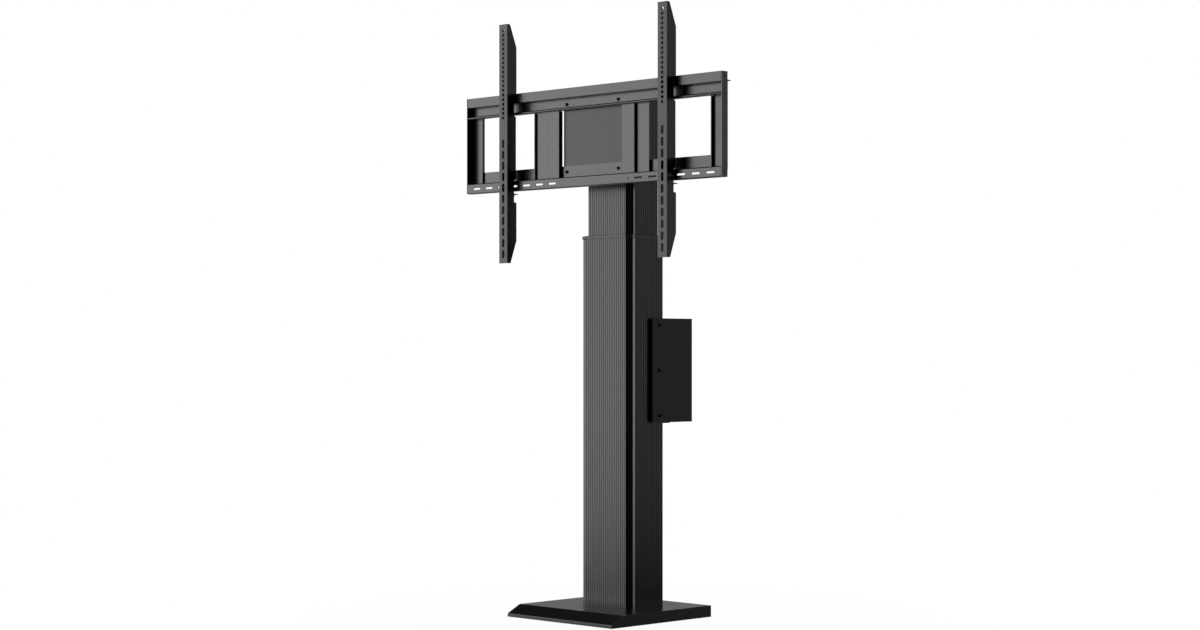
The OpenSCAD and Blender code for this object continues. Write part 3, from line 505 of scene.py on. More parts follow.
def screw_tree():
    """Puts a socket screw at each point, with its shank along a direction and its head behind."""
    t = Tree(
        "screws", Direction=(0, 0, 1), Head_Radius=0.005, Head_Height=0.003, Head_Sides=32, Edge=0.0006,
        Socket=0.002, Shank_Radius=0.003, Shank_Length=0.02
    )
    i = t.inputs()
    body_h = t.maths("SUBTRACT", i["Head Height"], i["Edge"])
    body = t.add("GeometryNodeMeshCylinder", i0=i["Head Sides"], i3=i["Head Radius"], i4=body_h)
    body = t.moved(body.outputs[0], t.vector(z=t.maths("DIVIDE", body_h, -2.0)))
    crown_r = t.maths("SUBTRACT", i["Head Radius"], i["Edge"])
    crown = t.add(
        "GeometryNodeMeshCone", i0=i["Head Sides"], i3=i["Head Radius"], i4=crown_r, i5=i["Edge"]
    )
    crown = t.moved(crown.outputs[0], t.vector(z=t.maths("MULTIPLY", i["Head Height"], -1.0)))
    shank = t.add("GeometryNodeMeshCylinder", i0=24, i3=i["Shank Radius"], i4=i["Shank Length"])
    shank = t.moved(shank.outputs[0], t.vector(z=t.maths("DIVIDE", i["Shank Length"], 2.0)))
    head = t.joined(body, crown)
    head = t.add("GeometryNodeMergeByDistance", i0=head, i2=1e-6).outputs[0]
    socket_h = t.maths("MULTIPLY", i["Head Height"], 1.2)
    key = t.add("GeometryNodeMeshCylinder", i0=6, i3=i["Socket"], i4=socket_h)
    key = t.moved(key.outputs[0], t.vector(z=t.maths("MULTIPLY", i["Head Height"], -1.0)))
    screw = t.joined(t.less(head, key), shank)
    turn = t.add("FunctionNodeAlignRotationToVector", {"axis": "Z"}, i2=i["Direction"])
    screws = t.add("GeometryNodeInstanceOnPoints", i0=i["Geometry"], i2=screw, i5=turn.outputs[0])
    return t.close(screws.outputs[0], i["Finish"])


def thread_tree():
    """Winds a ridge up a rod along Z: a spindle's thread."""
    t = Tree("thread", Starts=2, Lead=0.012, Bottom=0.1, Height=0.5, Radius=0.0074, Ridge=0.0006)
    i = t.inputs()
    turns = t.maths("DIVIDE", i["Height"], i["Lead"])
    spiral = t.add(
        "GeometryNodeCurveSpiral", i0=20, i1=turns, i2=i["Radius"], i3=i["Radius"], i4=i["Height"],
        i5=False
    )
    profile = t.add("GeometryNodeMeshCircle", i0=6, i1=i["Ridge"])
    profile = t.add("GeometryNodeMeshToCurve", i0=profile.outputs[0])
    ridge = t.add("GeometryNodeCurveToMesh", i0=spiral.outputs[0], i1=profile.outputs[0], i3=True)
    foot = t.vector(z=i["Bottom"])
    spots = t.add("GeometryNodeMeshLine", {"mode": "OFFSET"}, i0=i["Starts"], i2=foot, i3=t.vector())
    share = t.maths("DIVIDE", 2 * math.pi, i["Starts"])
    index = t.add("GeometryNodeInputIndex").outputs[0]
    turn = t.add("FunctionNodeEulerToRotation", i0=t.vector(z=t.maths("MULTIPLY", index, share)))
    ridges = t.add(
        "GeometryNodeInstanceOnPoints", i0=spots.outputs[0], i2=ridge.outputs[0], i5=turn.outputs[0]
    )
    return t.close(t.joined(i["Geometry"], ridges.outputs[0]), i["Finish"])


def rib_tree():
    """Lays a row of ribs of half round section: the pattern of a rubber mat."""
    t = Tree("ribs", Count=10, Start=(0, 0, 0), Step=(0, 0, 0), Length=0.3, Radius=0.001, Turn=(0, 0, 0))
    i = t.inputs()
    rod = t.add("GeometryNodeMeshCylinder", i0=8, i3=i["Radius"], i4=i["Length"])
    spots = t.add("GeometryNodeMeshLine", {"mode": "OFFSET"}, i0=i["Count"], i2=i["Start"], i3=i["Step"])
    turn = t.add("FunctionNodeEulerToRotation", i0=i["Turn"])
    rods = t.add(
        "GeometryNodeInstanceOnPoints", i0=spots.outputs[0], i2=rod.outputs[0], i5=turn.outputs[0]
    )
    return t.close(t.joined(i["Geometry"], rods.outputs[0]), i["Finish"])


def grow(obj, tree, **values):
    """Runs a tree on an object, with its inputs by name, and keeps the plain mesh."""
    modifier = obj.modifiers.new("nodes", "NODES")
    modifier.node_group = tree.tree
    values["Finish"] = obj.data.materials[0]
    for name, value in values.items():
        modifier[tree.sockets[name.replace("_", " ")]] = value
    return settle(obj)


def metres(*values):
    return [v * MM for v in values]


# Holes face the front, stand upright in a sheet that faces the front, or lie along Y in a side wall
LEVEL = (math.pi / 2, 0.0, 0.0)
UPRIGHT = (math.pi / 2, -math.pi / 2, 0.0)
SIDEWAYS = (math.pi / 2, 0.0, math.pi / 2)


def hole_row(obj, count, start, step, width, length, depth, turn):
    return grow(
        obj, HOLE_ROW, Count=count, Start=metres(*start), Step=metres(*step), Width=width * MM,
        Length=length * MM, Depth=depth * MM, Turn=turn
    )


def screws(name, spots, direction, size, length, material, sides=32, socket=0.5, edge=0.6):
    """Screws of one size, with shanks of a length. The socket is a share of the head."""
    head_r, head_h, shank_r = metres(*size)
    bm = bmesh.new()
    for spot in spots:
        bm.verts.new(spot)
    return grow(
        piece(name, bm, material), SCREWS, Direction=direction, Head_Radius=head_r, Head_Height=head_h,
        Head_Sides=sides, Edge=edge * MM, Socket=head_r * socket, Shank_Radius=shank_r,
        Shank_Length=length * MM
    )


# Materials

class Finish:
    """A material in the making, on a Principled shader."""

    def __init__(self, name, colour, roughness, metallic=0.0, specular=0.5):
        self.material = bpy.data.materials.new(name)
        self.material.use_nodes = True
        self.tree = self.material.node_tree
        self.shader = self.tree.nodes["Principled BSDF"]
        self.set("Base Color", (*colour, 1))
        self.set("Roughness", roughness)
        self.set("Metallic", metallic)
        self.set("Specular IOR Level", specular)
        self.place = self.tree.nodes.new("ShaderNodeTexCoord").outputs["Object"]
        self.normal = None

    def set(self, name, value):
        self.shader.inputs[name].default_value = value

    def noise(self, scale, detail=3.0, stretch=(1, 1, 1), roughness=0.5):
        """Noise with a size per axis: a small stretch draws the grain out along that axis."""
        mapping = wired(self.tree, "ShaderNodeMapping", {"Vector": self.place, "Scale": stretch})
        form = {"Vector": mapping.outputs[0], "Scale": scale, "Detail": detail, "Roughness": roughness}
        return wired(self.tree, "ShaderNodeTexNoise", form).outputs[0]

    def tint(self, source, dark, pale):
        """Colour between two tones, by a pattern."""
        mixed = wired(self.tree, "ShaderNodeValToRGB", {0: source})
        for stop, place, tone in zip(mixed.color_ramp.elements, (0.35, 0.65), (dark, pale)):
            stop.position = place
            stop.color = (*tone, 1)
        self.tree.links.new(mixed.outputs[0], self.shader.inputs["Base Color"])

    def gloss(self, source, least, most):
        """Roughness between two values, by a pattern."""
        rough = ramp(self.tree, source, (0.3, 0.7, least, most), "LINEAR")
        self.tree.links.new(rough, self.shader.inputs["Roughness"])

    def bump(self, source, height):
        """Relief of a height in millimetres, on top of any given before."""
        relief = {"Height": source, "Strength": 1.0, "Distance": height * MM}
        node = wired(self.tree, "ShaderNodeBump", relief)
        if self.normal:
            self.tree.links.new(self.normal, node.inputs["Normal"])
        self.normal = node.outputs[0]
        self.tree.links.new(self.normal, self.shader.inputs["Normal"])


def grey(value, warm=0.0):
    return (value * (1 + warm), value, value * (1 - warm))


def powder_coat(name, tone, roughness, specular=0.5):
    """Fine orange peel and faint unevenness of a baked coat."""
    f = Finish(name, grey(tone), roughness, specular=specular)
    cloud = f.noise(9.0)
    f.tint(cloud, grey(tone * 0.9), grey(tone * 1.1))
    f.gloss(f.noise(60.0, detail=4.0), roughness - 0.02, roughness + 0.02)
    f.bump(f.noise(700.0, detail=2.0), 0.004)
    f.bump(f.noise(160.0, detail=1.0), 0.006)
    return f.material


def anodised(name, tone, roughness, specular=0.5):
    """Die lines along the length of an extrusion, under a dark anodised skin."""
    f = Finish(name, grey(tone), roughness, specular=specular)
    lines = f.noise(1.0, detail=4.0, stretch=(900.0, 900.0, 1.2))
    f.tint(lines, grey(tone * 0.8), grey(tone * 1.25))
    f.gloss(f.noise(1.0, detail=3.0, stretch=(240.0, 240.0, 2.5)), roughness - 0.04, roughness + 0.04)
    f.bump(lines, 0.004)
    return f.material


def plastic(name, tone, roughness, grain=0.02):
    """Spark-eroded grain of a moulded part."""
    f = Finish(name, grey(tone), roughness)
    grain_noise = f.noise(900.0, detail=3.0, roughness=0.7)
    f.tint(f.noise(14.0), grey(tone * 0.9), grey(tone * 1.1))
    f.gloss(grain_noise, roughness - 0.05, roughness + 0.05)
    f.bump(grain_noise, grain)
    return f.material


def plated(name, colour, roughness, mottle=0.12):
    """Zinc or turned metal: a soft mottle and fine marks."""
    f = Finish(name, colour, roughness, metallic=1.0)
    f.tint(f.noise(120.0), [c * (1 - mottle) for c in colour], [c * (1 + mottle) for c in colour])
    f.gloss(f.noise(300.0, detail=4.0), roughness - 0.07, roughness + 0.07)
    f.bump(f.noise(1500.0), 0.003)
    return f.material


def turned(name, colour, roughness):
    """Bright steel with turning marks round Z."""
    f = Finish(name, colour, roughness, metallic=1.0)
    marks = f.noise(1.0, detail=4.0, stretch=(6.0, 6.0, 2600.0))
    f.tint(marks, [c * 0.9 for c in colour], colour)
    f.gloss(marks, roughness - 0.06, roughness + 0.08)
    f.bump(marks, 0.004)
    return f.material


def cast(name, tone, roughness):
    """Sand-grained skin of an alloy casting."""
    f = Finish(name, grey(tone), roughness, metallic=0.9)
    f.tint(f.noise(40.0), grey(tone * 0.85), grey(tone * 1.1))
    f.gloss(f.noise(220.0), roughness - 0.08, roughness + 0.1)
    f.bump(f.noise(900.0, detail=5.0, roughness=0.7), 0.08)
    return f.material


def rubber(name, tone, roughness):
    """Matt rubber with a dusty bloom."""
    f = Finish(name, grey(tone), roughness, specular=0.3)
    f.tint(f.noise(30.0, detail=6.0), grey(tone * 0.8), grey(tone * 1.5))
    f.gloss(f.noise(80.0), roughness - 0.06, roughness + 0.04)
    f.bump(f.noise(1800.0, detail=2.0), 0.03)
    return f.material


def rolled_plate(name, tone, roughness):
    """Oiled black plate with mill scale."""
    f = Finish(name, grey(tone), roughness, metallic=0.6)
    f.tint(f.noise(55.0, detail=8.0, roughness=0.7), grey(tone * 0.6, 0.05), grey(tone * 1.2))
    f.gloss(f.noise(24.0, detail=6.0), roughness - 0.1, roughness + 0.12)
    f.bump(f.noise(260.0, detail=6.0), 0.03)
    return f.material


COAT = powder_coat("black powder coat", 0.0045, 0.26)
ARM_COAT = powder_coat("arm coat", 0.0045, 0.25, 0.33)
ADAPTER_COAT = powder_coat("adapter coat", 0.0045, 0.27, 0.32)
HOUSING_COAT = powder_coat("housing coat", 0.0045, 0.3, 0.2)
ANODISED = anodised("black anodised", 0.006, 0.27, 0.47)
COLLAR_PLASTIC = plastic("collar plastic", 0.006, 0.45)
UNIT_PLASTIC = plastic("unit plastic", 0.012, 0.5)
GLIDE_PLASTIC = plastic("glide plastic", 0.6, 0.42)
BLACK_SCREWS = powder_coat("black screws", 0.0025, 0.5, 0.08)
ZINC = plated("zinc screws", (0.55, 0.56, 0.58), 0.36)
MOTOR_CAN = plated("motor can", (0.5, 0.51, 0.53), 0.32)
STEEL = turned("bright steel", (0.62, 0.62, 0.63), 0.24)
BRONZE = turned("nut bronze", (0.62, 0.42, 0.2), 0.3)
CASTING = cast("gearbox casting", 0.42, 0.45)
RUBBER = rubber("mat rubber", 0.02, 0.8)
BALLAST = rolled_plate("ballast steel", 0.1, 0.5)

HOLE_ROW = hole_row_tree()
SCREWS = screw_tree()
THREAD = thread_tree()
RIBS = rib_tree()


# Base

def base_cover():
    """Folded cover with a lip and a slope at the front, open for the foot plate."""
    (x0, y0, z0), (x1, y1, z1) = box_of("base_cover")
    side = [(y0, z0), (y0, LIP), (y0 + SLOPE, z1), (y1, z1), (y1, z0)]
    cover = piece("base_cover_sheet", prism(rounded(side, COVER_BENDS), "x", x0, x1), COAT)
    break_edges(cover, 0.6, 3, 50)
    rise = math.atan2(z1 - LIP, SLOPE)
    drop = COVER_T / math.cos(rise)
    inner_lip = LIP + COVER_T * math.tan(rise) - drop
    inner_run = (z1 - COVER_T - LIP + drop) / math.tan(rise)
    inside = [
        (y0 + COVER_T, z0 - OVER), (y0 + COVER_T, inner_lip), (y0 + inner_run, z1 - COVER_T),
        (y1 - COVER_T, z1 - COVER_T), (y1 - COVER_T, z0 - OVER)
    ]
    carve(cover, prism(inside, "x", x0 + COVER_T, x1 - COVER_T))
    (fx0, fy0, _), (fx1, fy1, _) = box_of("foot_plate")
    carve(cover, block(
        (fx0 - FOOT_GAP, fy0 - FOOT_GAP, z1 - COVER_T - OVER), (fx1 + FOOT_GAP, fy1 + FOOT_GAP, z1 + OVER)
    ))
    posts, bores = bmesh.new(), bmesh.new()
    bottom = high("ballast_plate")[2]
    for x in (x0 + POST_IN, x1 - POST_IN):
        for y in (y0 + SLOPE + POST_IN, y1 - POST_IN):
            prism(circle(x, y, POST_R), "z", bottom, z1 - COVER_T / 2, posts)
            prism(circle(x, y, POST_BORE_R), "z", bottom - OVER, bottom + POST_BORE_DEPTH, bores)
    carve(cover, posts, "UNION")
    carve(cover, bores)
    show(cover, "stand", "black_powder_coat", "base_cover")


def foot_plate():
    (x0, y0, z0), (x1, y1, z1) = box_of("foot_plate")
    plate = piece("foot_plate_slab", block((x0, y0, z0), (x1, y1, z1)), COAT)
    break_edges(plate, 0.7, 3)
    show(plate, "stand", "black_powder_coat", "foot_plate")


def anti_slip_mat():
    """Rubber mat with rows of ribs under it."""
    (x0, y0, z0), (x1, y1, z1) = box_of("anti_slip_mat")
    mat = piece("anti_slip_mat_ribbed", block((x0, y0, z0 + MAT_RIB), (x1, y1, z1)), RUBBER)
    count = int((x1 - x0 - 2 * MAT_PITCH) / MAT_PITCH)
    grow(
        mat, RIBS, Count=count, Start=metres(x0 + 1.5 * MAT_PITCH, (y0 + y1) / 2, z0 + 2 * MAT_RIB),
        Step=metres(MAT_PITCH, 0, 0), Length=(y1 - y0 - 2 * MAT_PITCH) * MM, Radius=2 * MAT_RIB * MM,
        Turn=LEVEL
    )
    show(mat, "stand", "mat_rubber", "anti_slip_mat")


# Columns

def section(size, t):
    """Column outline, set in by t, or out where t is negative."""
    w, d, cut, ledge = size["w"], size["d"], size["cut"], size["ledge"]
    fx = w / 2 - ledge - cut + t * (1 - math.sqrt(2))
    fy = d / 2 - t
    lx = w / 2 - ledge + t * (1 - math.sqrt(2))
    ly = d / 2 - cut - t
    sx = w / 2 - t
    return [
        (-fx, -fy), (fx, -fy), (lx, -ly), (sx, -ly), (sx, ly), (lx, ly),
        (fx, fy), (-fx, fy), (-lx, ly), (-sx, ly), (-sx, -ly), (-lx, -ly)
    ]


def flutes(a, b):
    """Flutes along an edge of a column, cut to the left of the way from a to b."""
    a, b = Vector(a), Vector(b)
    length = (b - a).length
    along = (b - a) / length
    inward = Vector((-along.y, along.x))
    count = int((length - 2 * FLUTE_LAND - FLUTE_W) / FLUTE_PITCH) + 1
    first = (length - (count - 1) * FLUTE_PITCH) / 2
    for i in range(count):
        mid = a + along * (first + i * FLUTE_PITCH)
        yield mid - along * FLUTE_W / 2
        yield mid - along * FLUTE_W / 4 + inward * FLUTE_DEPTH
        yield mid + along * FLUTE_W / 4 + inward * FLUTE_DEPTH
        yield mid + along * FLUTE_W / 2


def column(node, size, body):
    """Fluted hollow extrusion with a screw channel in each corner."""
    bottom, top = low(node)[2], high(node)[2]
    corners = section(size, 0)
    points, radii = [], []
    for i, corner in enumerate(corners):
        points.append(corner)
        radii.append(COLUMN_EDGE)
        if i % 3 == 0:
            for p in flutes(corner, corners[(i + 1) % len(corners)]):
                points.append(tuple(p))
                radii.append(FLUTE_EDGE)
    profile = piece(node + "_profile", prism(rounded(points, radii, 3), "z", bottom, top), ANODISED)
    carve(profile, prism(section(size, size["wall"]), "z", bottom - OVER, top + OVER))
    back = (size["wall"] + PORT_IN) / math.sqrt(2)
    px = size["w"] / 2 - size["ledge"] - size["cut"] / 2 - back
    py = size["d"] / 2 - size["cut"] / 2 - back
    tubes, bores = bmesh.new(), bmesh.new()
    for x in (-px, px):
        for y in (-py, py):
            prism(circle(x, y, PORT_R + PORT_WALL), "z", bottom, top, tubes)
            prism(circle(x, y, PORT_R), "z", bottom - OVER, top + OVER, bores)
    carve(profile, tubes, "UNION")
    carve(profile, bores)
    show(profile, body, "black_anodised", node)


def column_collar():
    """Moulded ring that closes the gap between the columns."""
    bottom, top = low("column_collar")[2], high("column_collar")[2]
    outline = rounded(section(OUTER, -COLLAR_RIM), COLLAR_EDGE)
    ring = piece("column_collar_ring", prism(outline, "z", bottom, top), COLLAR_PLASTIC)
    break_edges(ring, 1.0, 3, 50)
    carve(ring, prism(section(OUTER, -COLLAR_GAP), "z", bottom - OVER, top - COLLAR_CAP))
    carve(ring, prism(rounded(section(INNER, -MOUTH), MOUTH_EDGE), "z", bottom - OVER, top + OVER))
    show(ring, "stand", "collar_plastic", "column_collar")


def head_plate():
    """Plate on the inner column's end, open for leads."""
    bottom, top = low("head_plate")[2], high("head_plate")[2]
    outline = rounded(section(INNER, 0), MOUTH_EDGE)
    plate = piece("head_plate_lid", prism(outline, "z", bottom, top), COAT)
    carve(plate, prism(circle(0, 0, LEAD_R, 64), "z", bottom - OVER, top + OVER))
    break_edges(plate, 0.6, 3, 50)
    show(plate, "lift_head", "black_powder_coat", "head_plate")


# Frame

def rail_screw_spots():
    """Middles of the four frame screws, on the rails' webs."""
    head_r = FRAME_SCREW[0]
    x = low("frame_screws")[0] + head_r
    zs = (low("frame_screws")[2] + head_r, high("frame_screws")[2] - head_r)
    return [(s * x, WEB_FRONT, z) for s in (-1, 1) for z in zs]


def cut_rail_screws(rail):
    holes = bmesh.new()
    for x, y, z in rail_screw_spots():
        prism(circle(x, z, FRAME_SCREW_BORE), "y", WEB_FRONT - OVER, WEB_BACK + OVER, holes)
    carve(rail, holes)


def top_rail():
    """Band, shelf, web and hemmed nose of the upper rail."""
    y0, y1 = FRONT + RAIL_T / 2, WEB_FRONT + RAIL_T / 2
    h = RAIL_T / 2
    mid = (SHELF_TOP + NOSE_TOP) / 2
    band = [(y0, FRAME_TOP), (y0, SHELF_TOP + h), (y1, SHELF_TOP + h), (y1, mid - OVER)]
    hem = [
        (y1, mid + OVER), (y1, NOSE_TOP - h), (y0, NOSE_TOP - h), (y0, NOSE_LOW + h),
        (y1 - RAIL_T, NOSE_LOW + h)
    ]
    band, nose = bent_outline(band, RAIL_T, RAIL_BEND), bent_outline(hem, RAIL_T, HEM_BEND)
    rail = piece("top_rail_sheet", prism(band, "x", -RAIL_HALF, RAIL_HALF), COAT)
    carve(rail, prism(nose, "x", -RAIL_HALF, RAIL_HALF), "UNION")
    break_edges(rail, SHEET_EDGE)
    cut_rail_screws(rail)
    show(rail, "lift_head", "black_powder_coat", "top_rail")


def bottom_rail():
    """Channel and web of the lower rail, with its accessory slots."""
    y0, y1 = FRONT + RAIL_T / 2, WEB_FRONT + RAIL_T / 2
    h = RAIL_T / 2
    path = [
        (y1, FRAME_LOW + h), (y0, FRAME_LOW + h), (y0, SHELF_LOW - h), (y1, SHELF_LOW - h),
        (y1, WEB_LOW_TOP)
    ]
    sheet = bent_outline(path, RAIL_T, RAIL_BEND)
    rail = piece("bottom_rail_sheet", prism(sheet, "x", -RAIL_HALF, RAIL_HALF), COAT)
    start = (FRAME_HALF - END_W - RUN, FRONT - OVER, SHELF_LOW)
    for side in (-1, 1):
        carve(rail, across(side, start, (FRAME_HALF, WEB_BACK + OVER, WEB_LOW_TOP + OVER)))
    break_edges(rail, SHEET_EDGE)
    z = FRAME_LOW + SLOT_RISE
    y = FRONT + RAIL_T / 2
    depth = RAIL_T + 2 * OVER
    first = SLOT_END - FRAME_HALF
    hole_row(rail, LEFT_SLOTS, (first, y, z), (SLOT_PITCH, 0, 0), SLOT_W, SLOT_L, depth, LEVEL)
    hole_row(rail, RIGHT_SLOTS, (-first, y, z), (-SLOT_PITCH, 0, 0), SLOT_W, SLOT_L, depth, LEVEL)
    last = -first - (RIGHT_SLOTS - 1) * SLOT_PITCH - ROUND_HOLE_STEP
    hole_row(rail, 1, (last, y, z), (0, 0, 0), SLOT_W, SLOT_W, depth, LEVEL)
    cut_rail_screws(rail)
    show(rail, "lift_head", "black_powder_coat", "bottom_rail")


def end_member(side):
    """Channel that closes the frame's end: side is 1 on the right and -1 on the left."""
    name = SIDES[side] + "_end_member"
    x1 = FRAME_HALF - SIDE_T / 2
    x0 = FRAME_HALF - END_W + SIDE_T / 2
    yb = WEB_BACK + SIDE_T / 2
    sheet = bent_outline([(x1, FRONT), (x1, yb), (x0, yb), (x0, yb - END_LIP)], SIDE_T, SIDE_BEND)
    sheet = [(side * x, y) for x, y in sheet]
    end = piece(name + "_sheet", prism(sheet, "z", FRAME_LOW, FRAME_TOP), COAT)
    web_low, web_high = FRAME_LOW + END_WEB[0], FRAME_TOP - END_WEB[1]
    for z0, z1 in ((FRAME_LOW - OVER, web_low), (web_high, FRAME_TOP + OVER)):
        carve(end, across(side, (0, WEB_BACK, z0), (FRAME_HALF + OVER, FRAME_BACK + OVER, z1)))
    for z0, z1 in ((FRAME_LOW - OVER, SHELF_LOW + RUN), (NOSE_LOW - RUN, FRAME_TOP + OVER)):
        carve(end, across(side, (0, FRONT - OVER, z0), (RAIL_HALF, WEB_BACK, z1)))
    flange = across(
        side, (x0 - SIDE_T / 2, FRAME_BACK - FLANGE_ROOT, web_high - SIDE_T),
        (RAIL_HALF - SIDE_T, FRAME_BACK + END_FLANGE, web_high)
    )
    carve(end, flange, "UNION")
    for z, way in ((FRAME_LOW, 1), (FRAME_TOP, -1)):
        turn = circle(FRAME_BACK - END_CORNER, z + way * END_CORNER, END_CORNER)
        quarter = len(turn) // 4
        arc = turn[:quarter + 1] if way < 0 else turn[-quarter:] + turn[:1]
        waste = [(FRAME_BACK + OVER, z - way * OVER), *arc]
        carve(end, prism(waste, "x", side * (FRAME_HALF - 2 * SIDE_T), side * (FRAME_HALF + OVER)))
    break_edges(end, SHEET_EDGE)
    lower = (side * FRAME_HALF, FRONT + WEB_DEPTH / 2, FRAME_LOW + TOOL_HOLE_IN)
    step = (0, 0, FRAME_TOP - FRAME_LOW - 2 * TOOL_HOLE_IN)
    width = 2 * TOOL_HOLE_R
    hole_row(end, 2, lower, step, width, width, 2 * TOOL_HOLE_DEPTH, SIDEWAYS)
    show(end, "lift_head", "black_powder_coat", name)


def strut(side):
    """Hat section on the front of the rails' webs, with its raised face towards the middle."""
    name = SIDES[side] + "_strut"
    h = SIDE_T / 2
    bottom, top = low(name)[2], high(name)[2]
    x0, x1 = STRUT_IN + h, STRUT_IN + STRUT_FACE - h
    x2 = x1 + STRUT_WEB
    yb, yf = WEB_FRONT - SEAT - h, WEB_FRONT - STRUT_DEPTH + h
    path = [(x0, WEB_BACK), (x0, yf), (x1, yf), (x1, yb), (x2, yb), (x2, yf)]
    sheet = [(side * x, y) for x, y in bent_outline(path, SIDE_T, SIDE_BEND)]
    post = piece(name + "_sheet", prism(sheet, "z", bottom, top), COAT)
    start = (0, WEB_FRONT - SEAT, bottom - OVER)
    carve(post, across(side, start, (x1, WEB_BACK + OVER, WEB_LOW_TOP + RUN)))
    break_edges(post, SHEET_EDGE)
    show(post, "lift_head", "black_powder_coat", name)


# Adapter

def adapter_bracket():
    """Plate behind the rails and two cheeks that clamp the inner column."""
    (x0, y0, z0), (x1, y1, z1) = box_of("adapter_bracket")
    plate = [(x0, z0), (x1, z0), (x1, z1), (x0, z1)]
    plate = prism(rounded(plate, ADAPTER_CORNER), "y", y0, y0 + ADAPTER_T)
    bracket = piece("adapter_bracket_plate", plate, ADAPTER_COAT)
    inner = INNER["w"] / 2 + SEAT
    corner = CHEEK_CORNER / math.sqrt(2)
    cheek = [
        (y0 + ADAPTER_T / 2, z0), (y1 - corner, z0), (y1, z0 + corner), (y1, z1 - corner),
        (y1 - corner, z1), (y0 + ADAPTER_T / 2, z1)
    ]
    cheek = rounded(cheek, [0, *[CHEEK_ROUND] * 4, 0])
    for x in (inner, -inner - ADAPTER_T):
        carve(bracket, prism(cheek, "x", x, x + ADAPTER_T), "UNION")
    break_edges(bracket, 0.6)
    show(bracket, "lift_head", "black_powder_coat", "adapter_bracket")


def weld_beads():
    """Fillet welds between the adapter's plate and its cheeks."""
    (x0, y0, z0), (x1, y1, z1) = box_of("adapter_bracket")
    outer = INNER["w"] / 2 + SEAT + ADAPTER_T
    back = y0 + ADAPTER_T
    root = 0.5
    bm = bmesh.new()
    for side in (-1, 1):
        for start in (z0 + WELD_IN, (z0 + z1 - WELD_L) / 2, z1 - WELD_IN - WELD_L):
            rings = []
            for k in range(int(WELD_L / WELD_STEP) + 1):
                z = start + k * WELD_STEP
                swell = WELD_SIZE * (1 - 0.1 * (k % 2))
                ring = (
                    (-root, -root), (swell, -root), (swell * 0.55, swell * 0.3),
                    (swell * 0.3, swell * 0.55), (-root, swell)
                )
                rings.append([bm.verts.new((side * (outer + x), back + y, z)) for x, y in ring])
            for a, b in zip(rings, rings[1:]):
                for j in range(5):
                    bm.faces.new((a[j], a[(j + 1) % 5], b[(j + 1) % 5], b[j]))
            bm.faces.new(rings[0])
            bm.faces.new(rings[-1])
    bmesh.ops.recalc_face_normals(bm, faces=bm.faces)
    show(piece("adapter_welds", bm, ADAPTER_COAT), "lift_head", "black_powder_coat")


# Arms

def arm(side):
    """Upright channel with tapered flanges, notched where it hooks over the rails."""
    name = SIDES[side] + "_arm"
    (x0, y0, z0), (x1, y1, z1) = box_of(name)
    mid = (x0 + x1) / 2
    back, inside = y0 + ARM_D + OVER, y0 + ARM_T
    section_points = [
        (x0, back), (x0, y0), (x1, y0), (x1, back),
        (x1 - ARM_T, back), (x1 - ARM_T, inside), (x0 + ARM_T, inside), (x0 + ARM_T, back)
    ]
    channel = piece(name + "_channel", prism(section_points, "z", z0, z1), ARM_COAT)
    notch = FRAME_LOW - NOTCH_DROP
    mid_low, mid_high = SHELF_LOW + MID_MARGIN[0], NOSE_LOW - MID_MARGIN[1]
    seat = FRAME_TOP + RUN
    hook = FRAME_TOP - HOOK_DEPTH
    side_view = [
        (-OVER, z0, 0), (ARM_LOW_D, z0, 3), (ARM_D, z0 + TAPER, 3), (ARM_D, notch - NOTCH_CUT, 1),
        (ARM_D - NOTCH_CUT, notch, 1), (NOTCH_D, notch, 1), (NOTCH_D, mid_low - NOTCH_CUT, 1),
        (MID_D, mid_low, 1), (MID_D, mid_high, 1), (NOTCH_D + NOTCH_STEP, mid_high + NOTCH_CUT, 1),
        (NOTCH_D, mid_high + NOTCH_CUT + NOTCH_STEP, 1), (NOTCH_D, seat, 1), (HOOK_IN, seat, 1),
        (HOOK_IN, hook, 0.5), (ARM_D, hook, 1.2), (ARM_D, z1 - TAPER, 3), (ARM_TOP_D, z1, 3),
        (-OVER, z1, 0)
    ]
    outline = rounded([(y0 + y, z) for y, z, r in side_view], [r for y, z, r in side_view], 3)
    carve(channel, prism(outline, "x", x0 - OVER, x1 + OVER), "INTERSECT")
    break_edges(channel, SHEET_EDGE)
    depth = ARM_T + 2 * OVER
    y = y0 + ARM_T / 2
    first, last = (mid, y, z1 - FIRST_HOLE), (mid, y, z0 + LAST_LONG)
    hole_row(channel, HOLES, first, (0, 0, -HOLE_PITCH), HOLE_D, HOLE_D, depth, LEVEL)
    hole_row(channel, LONG_HOLES, last, (0, 0, LONG_PITCH), HOLE_D, LONG_L, depth, UPRIGHT)
    show(channel, name + "_carriage", "black_powder_coat", name)


# Rear housing

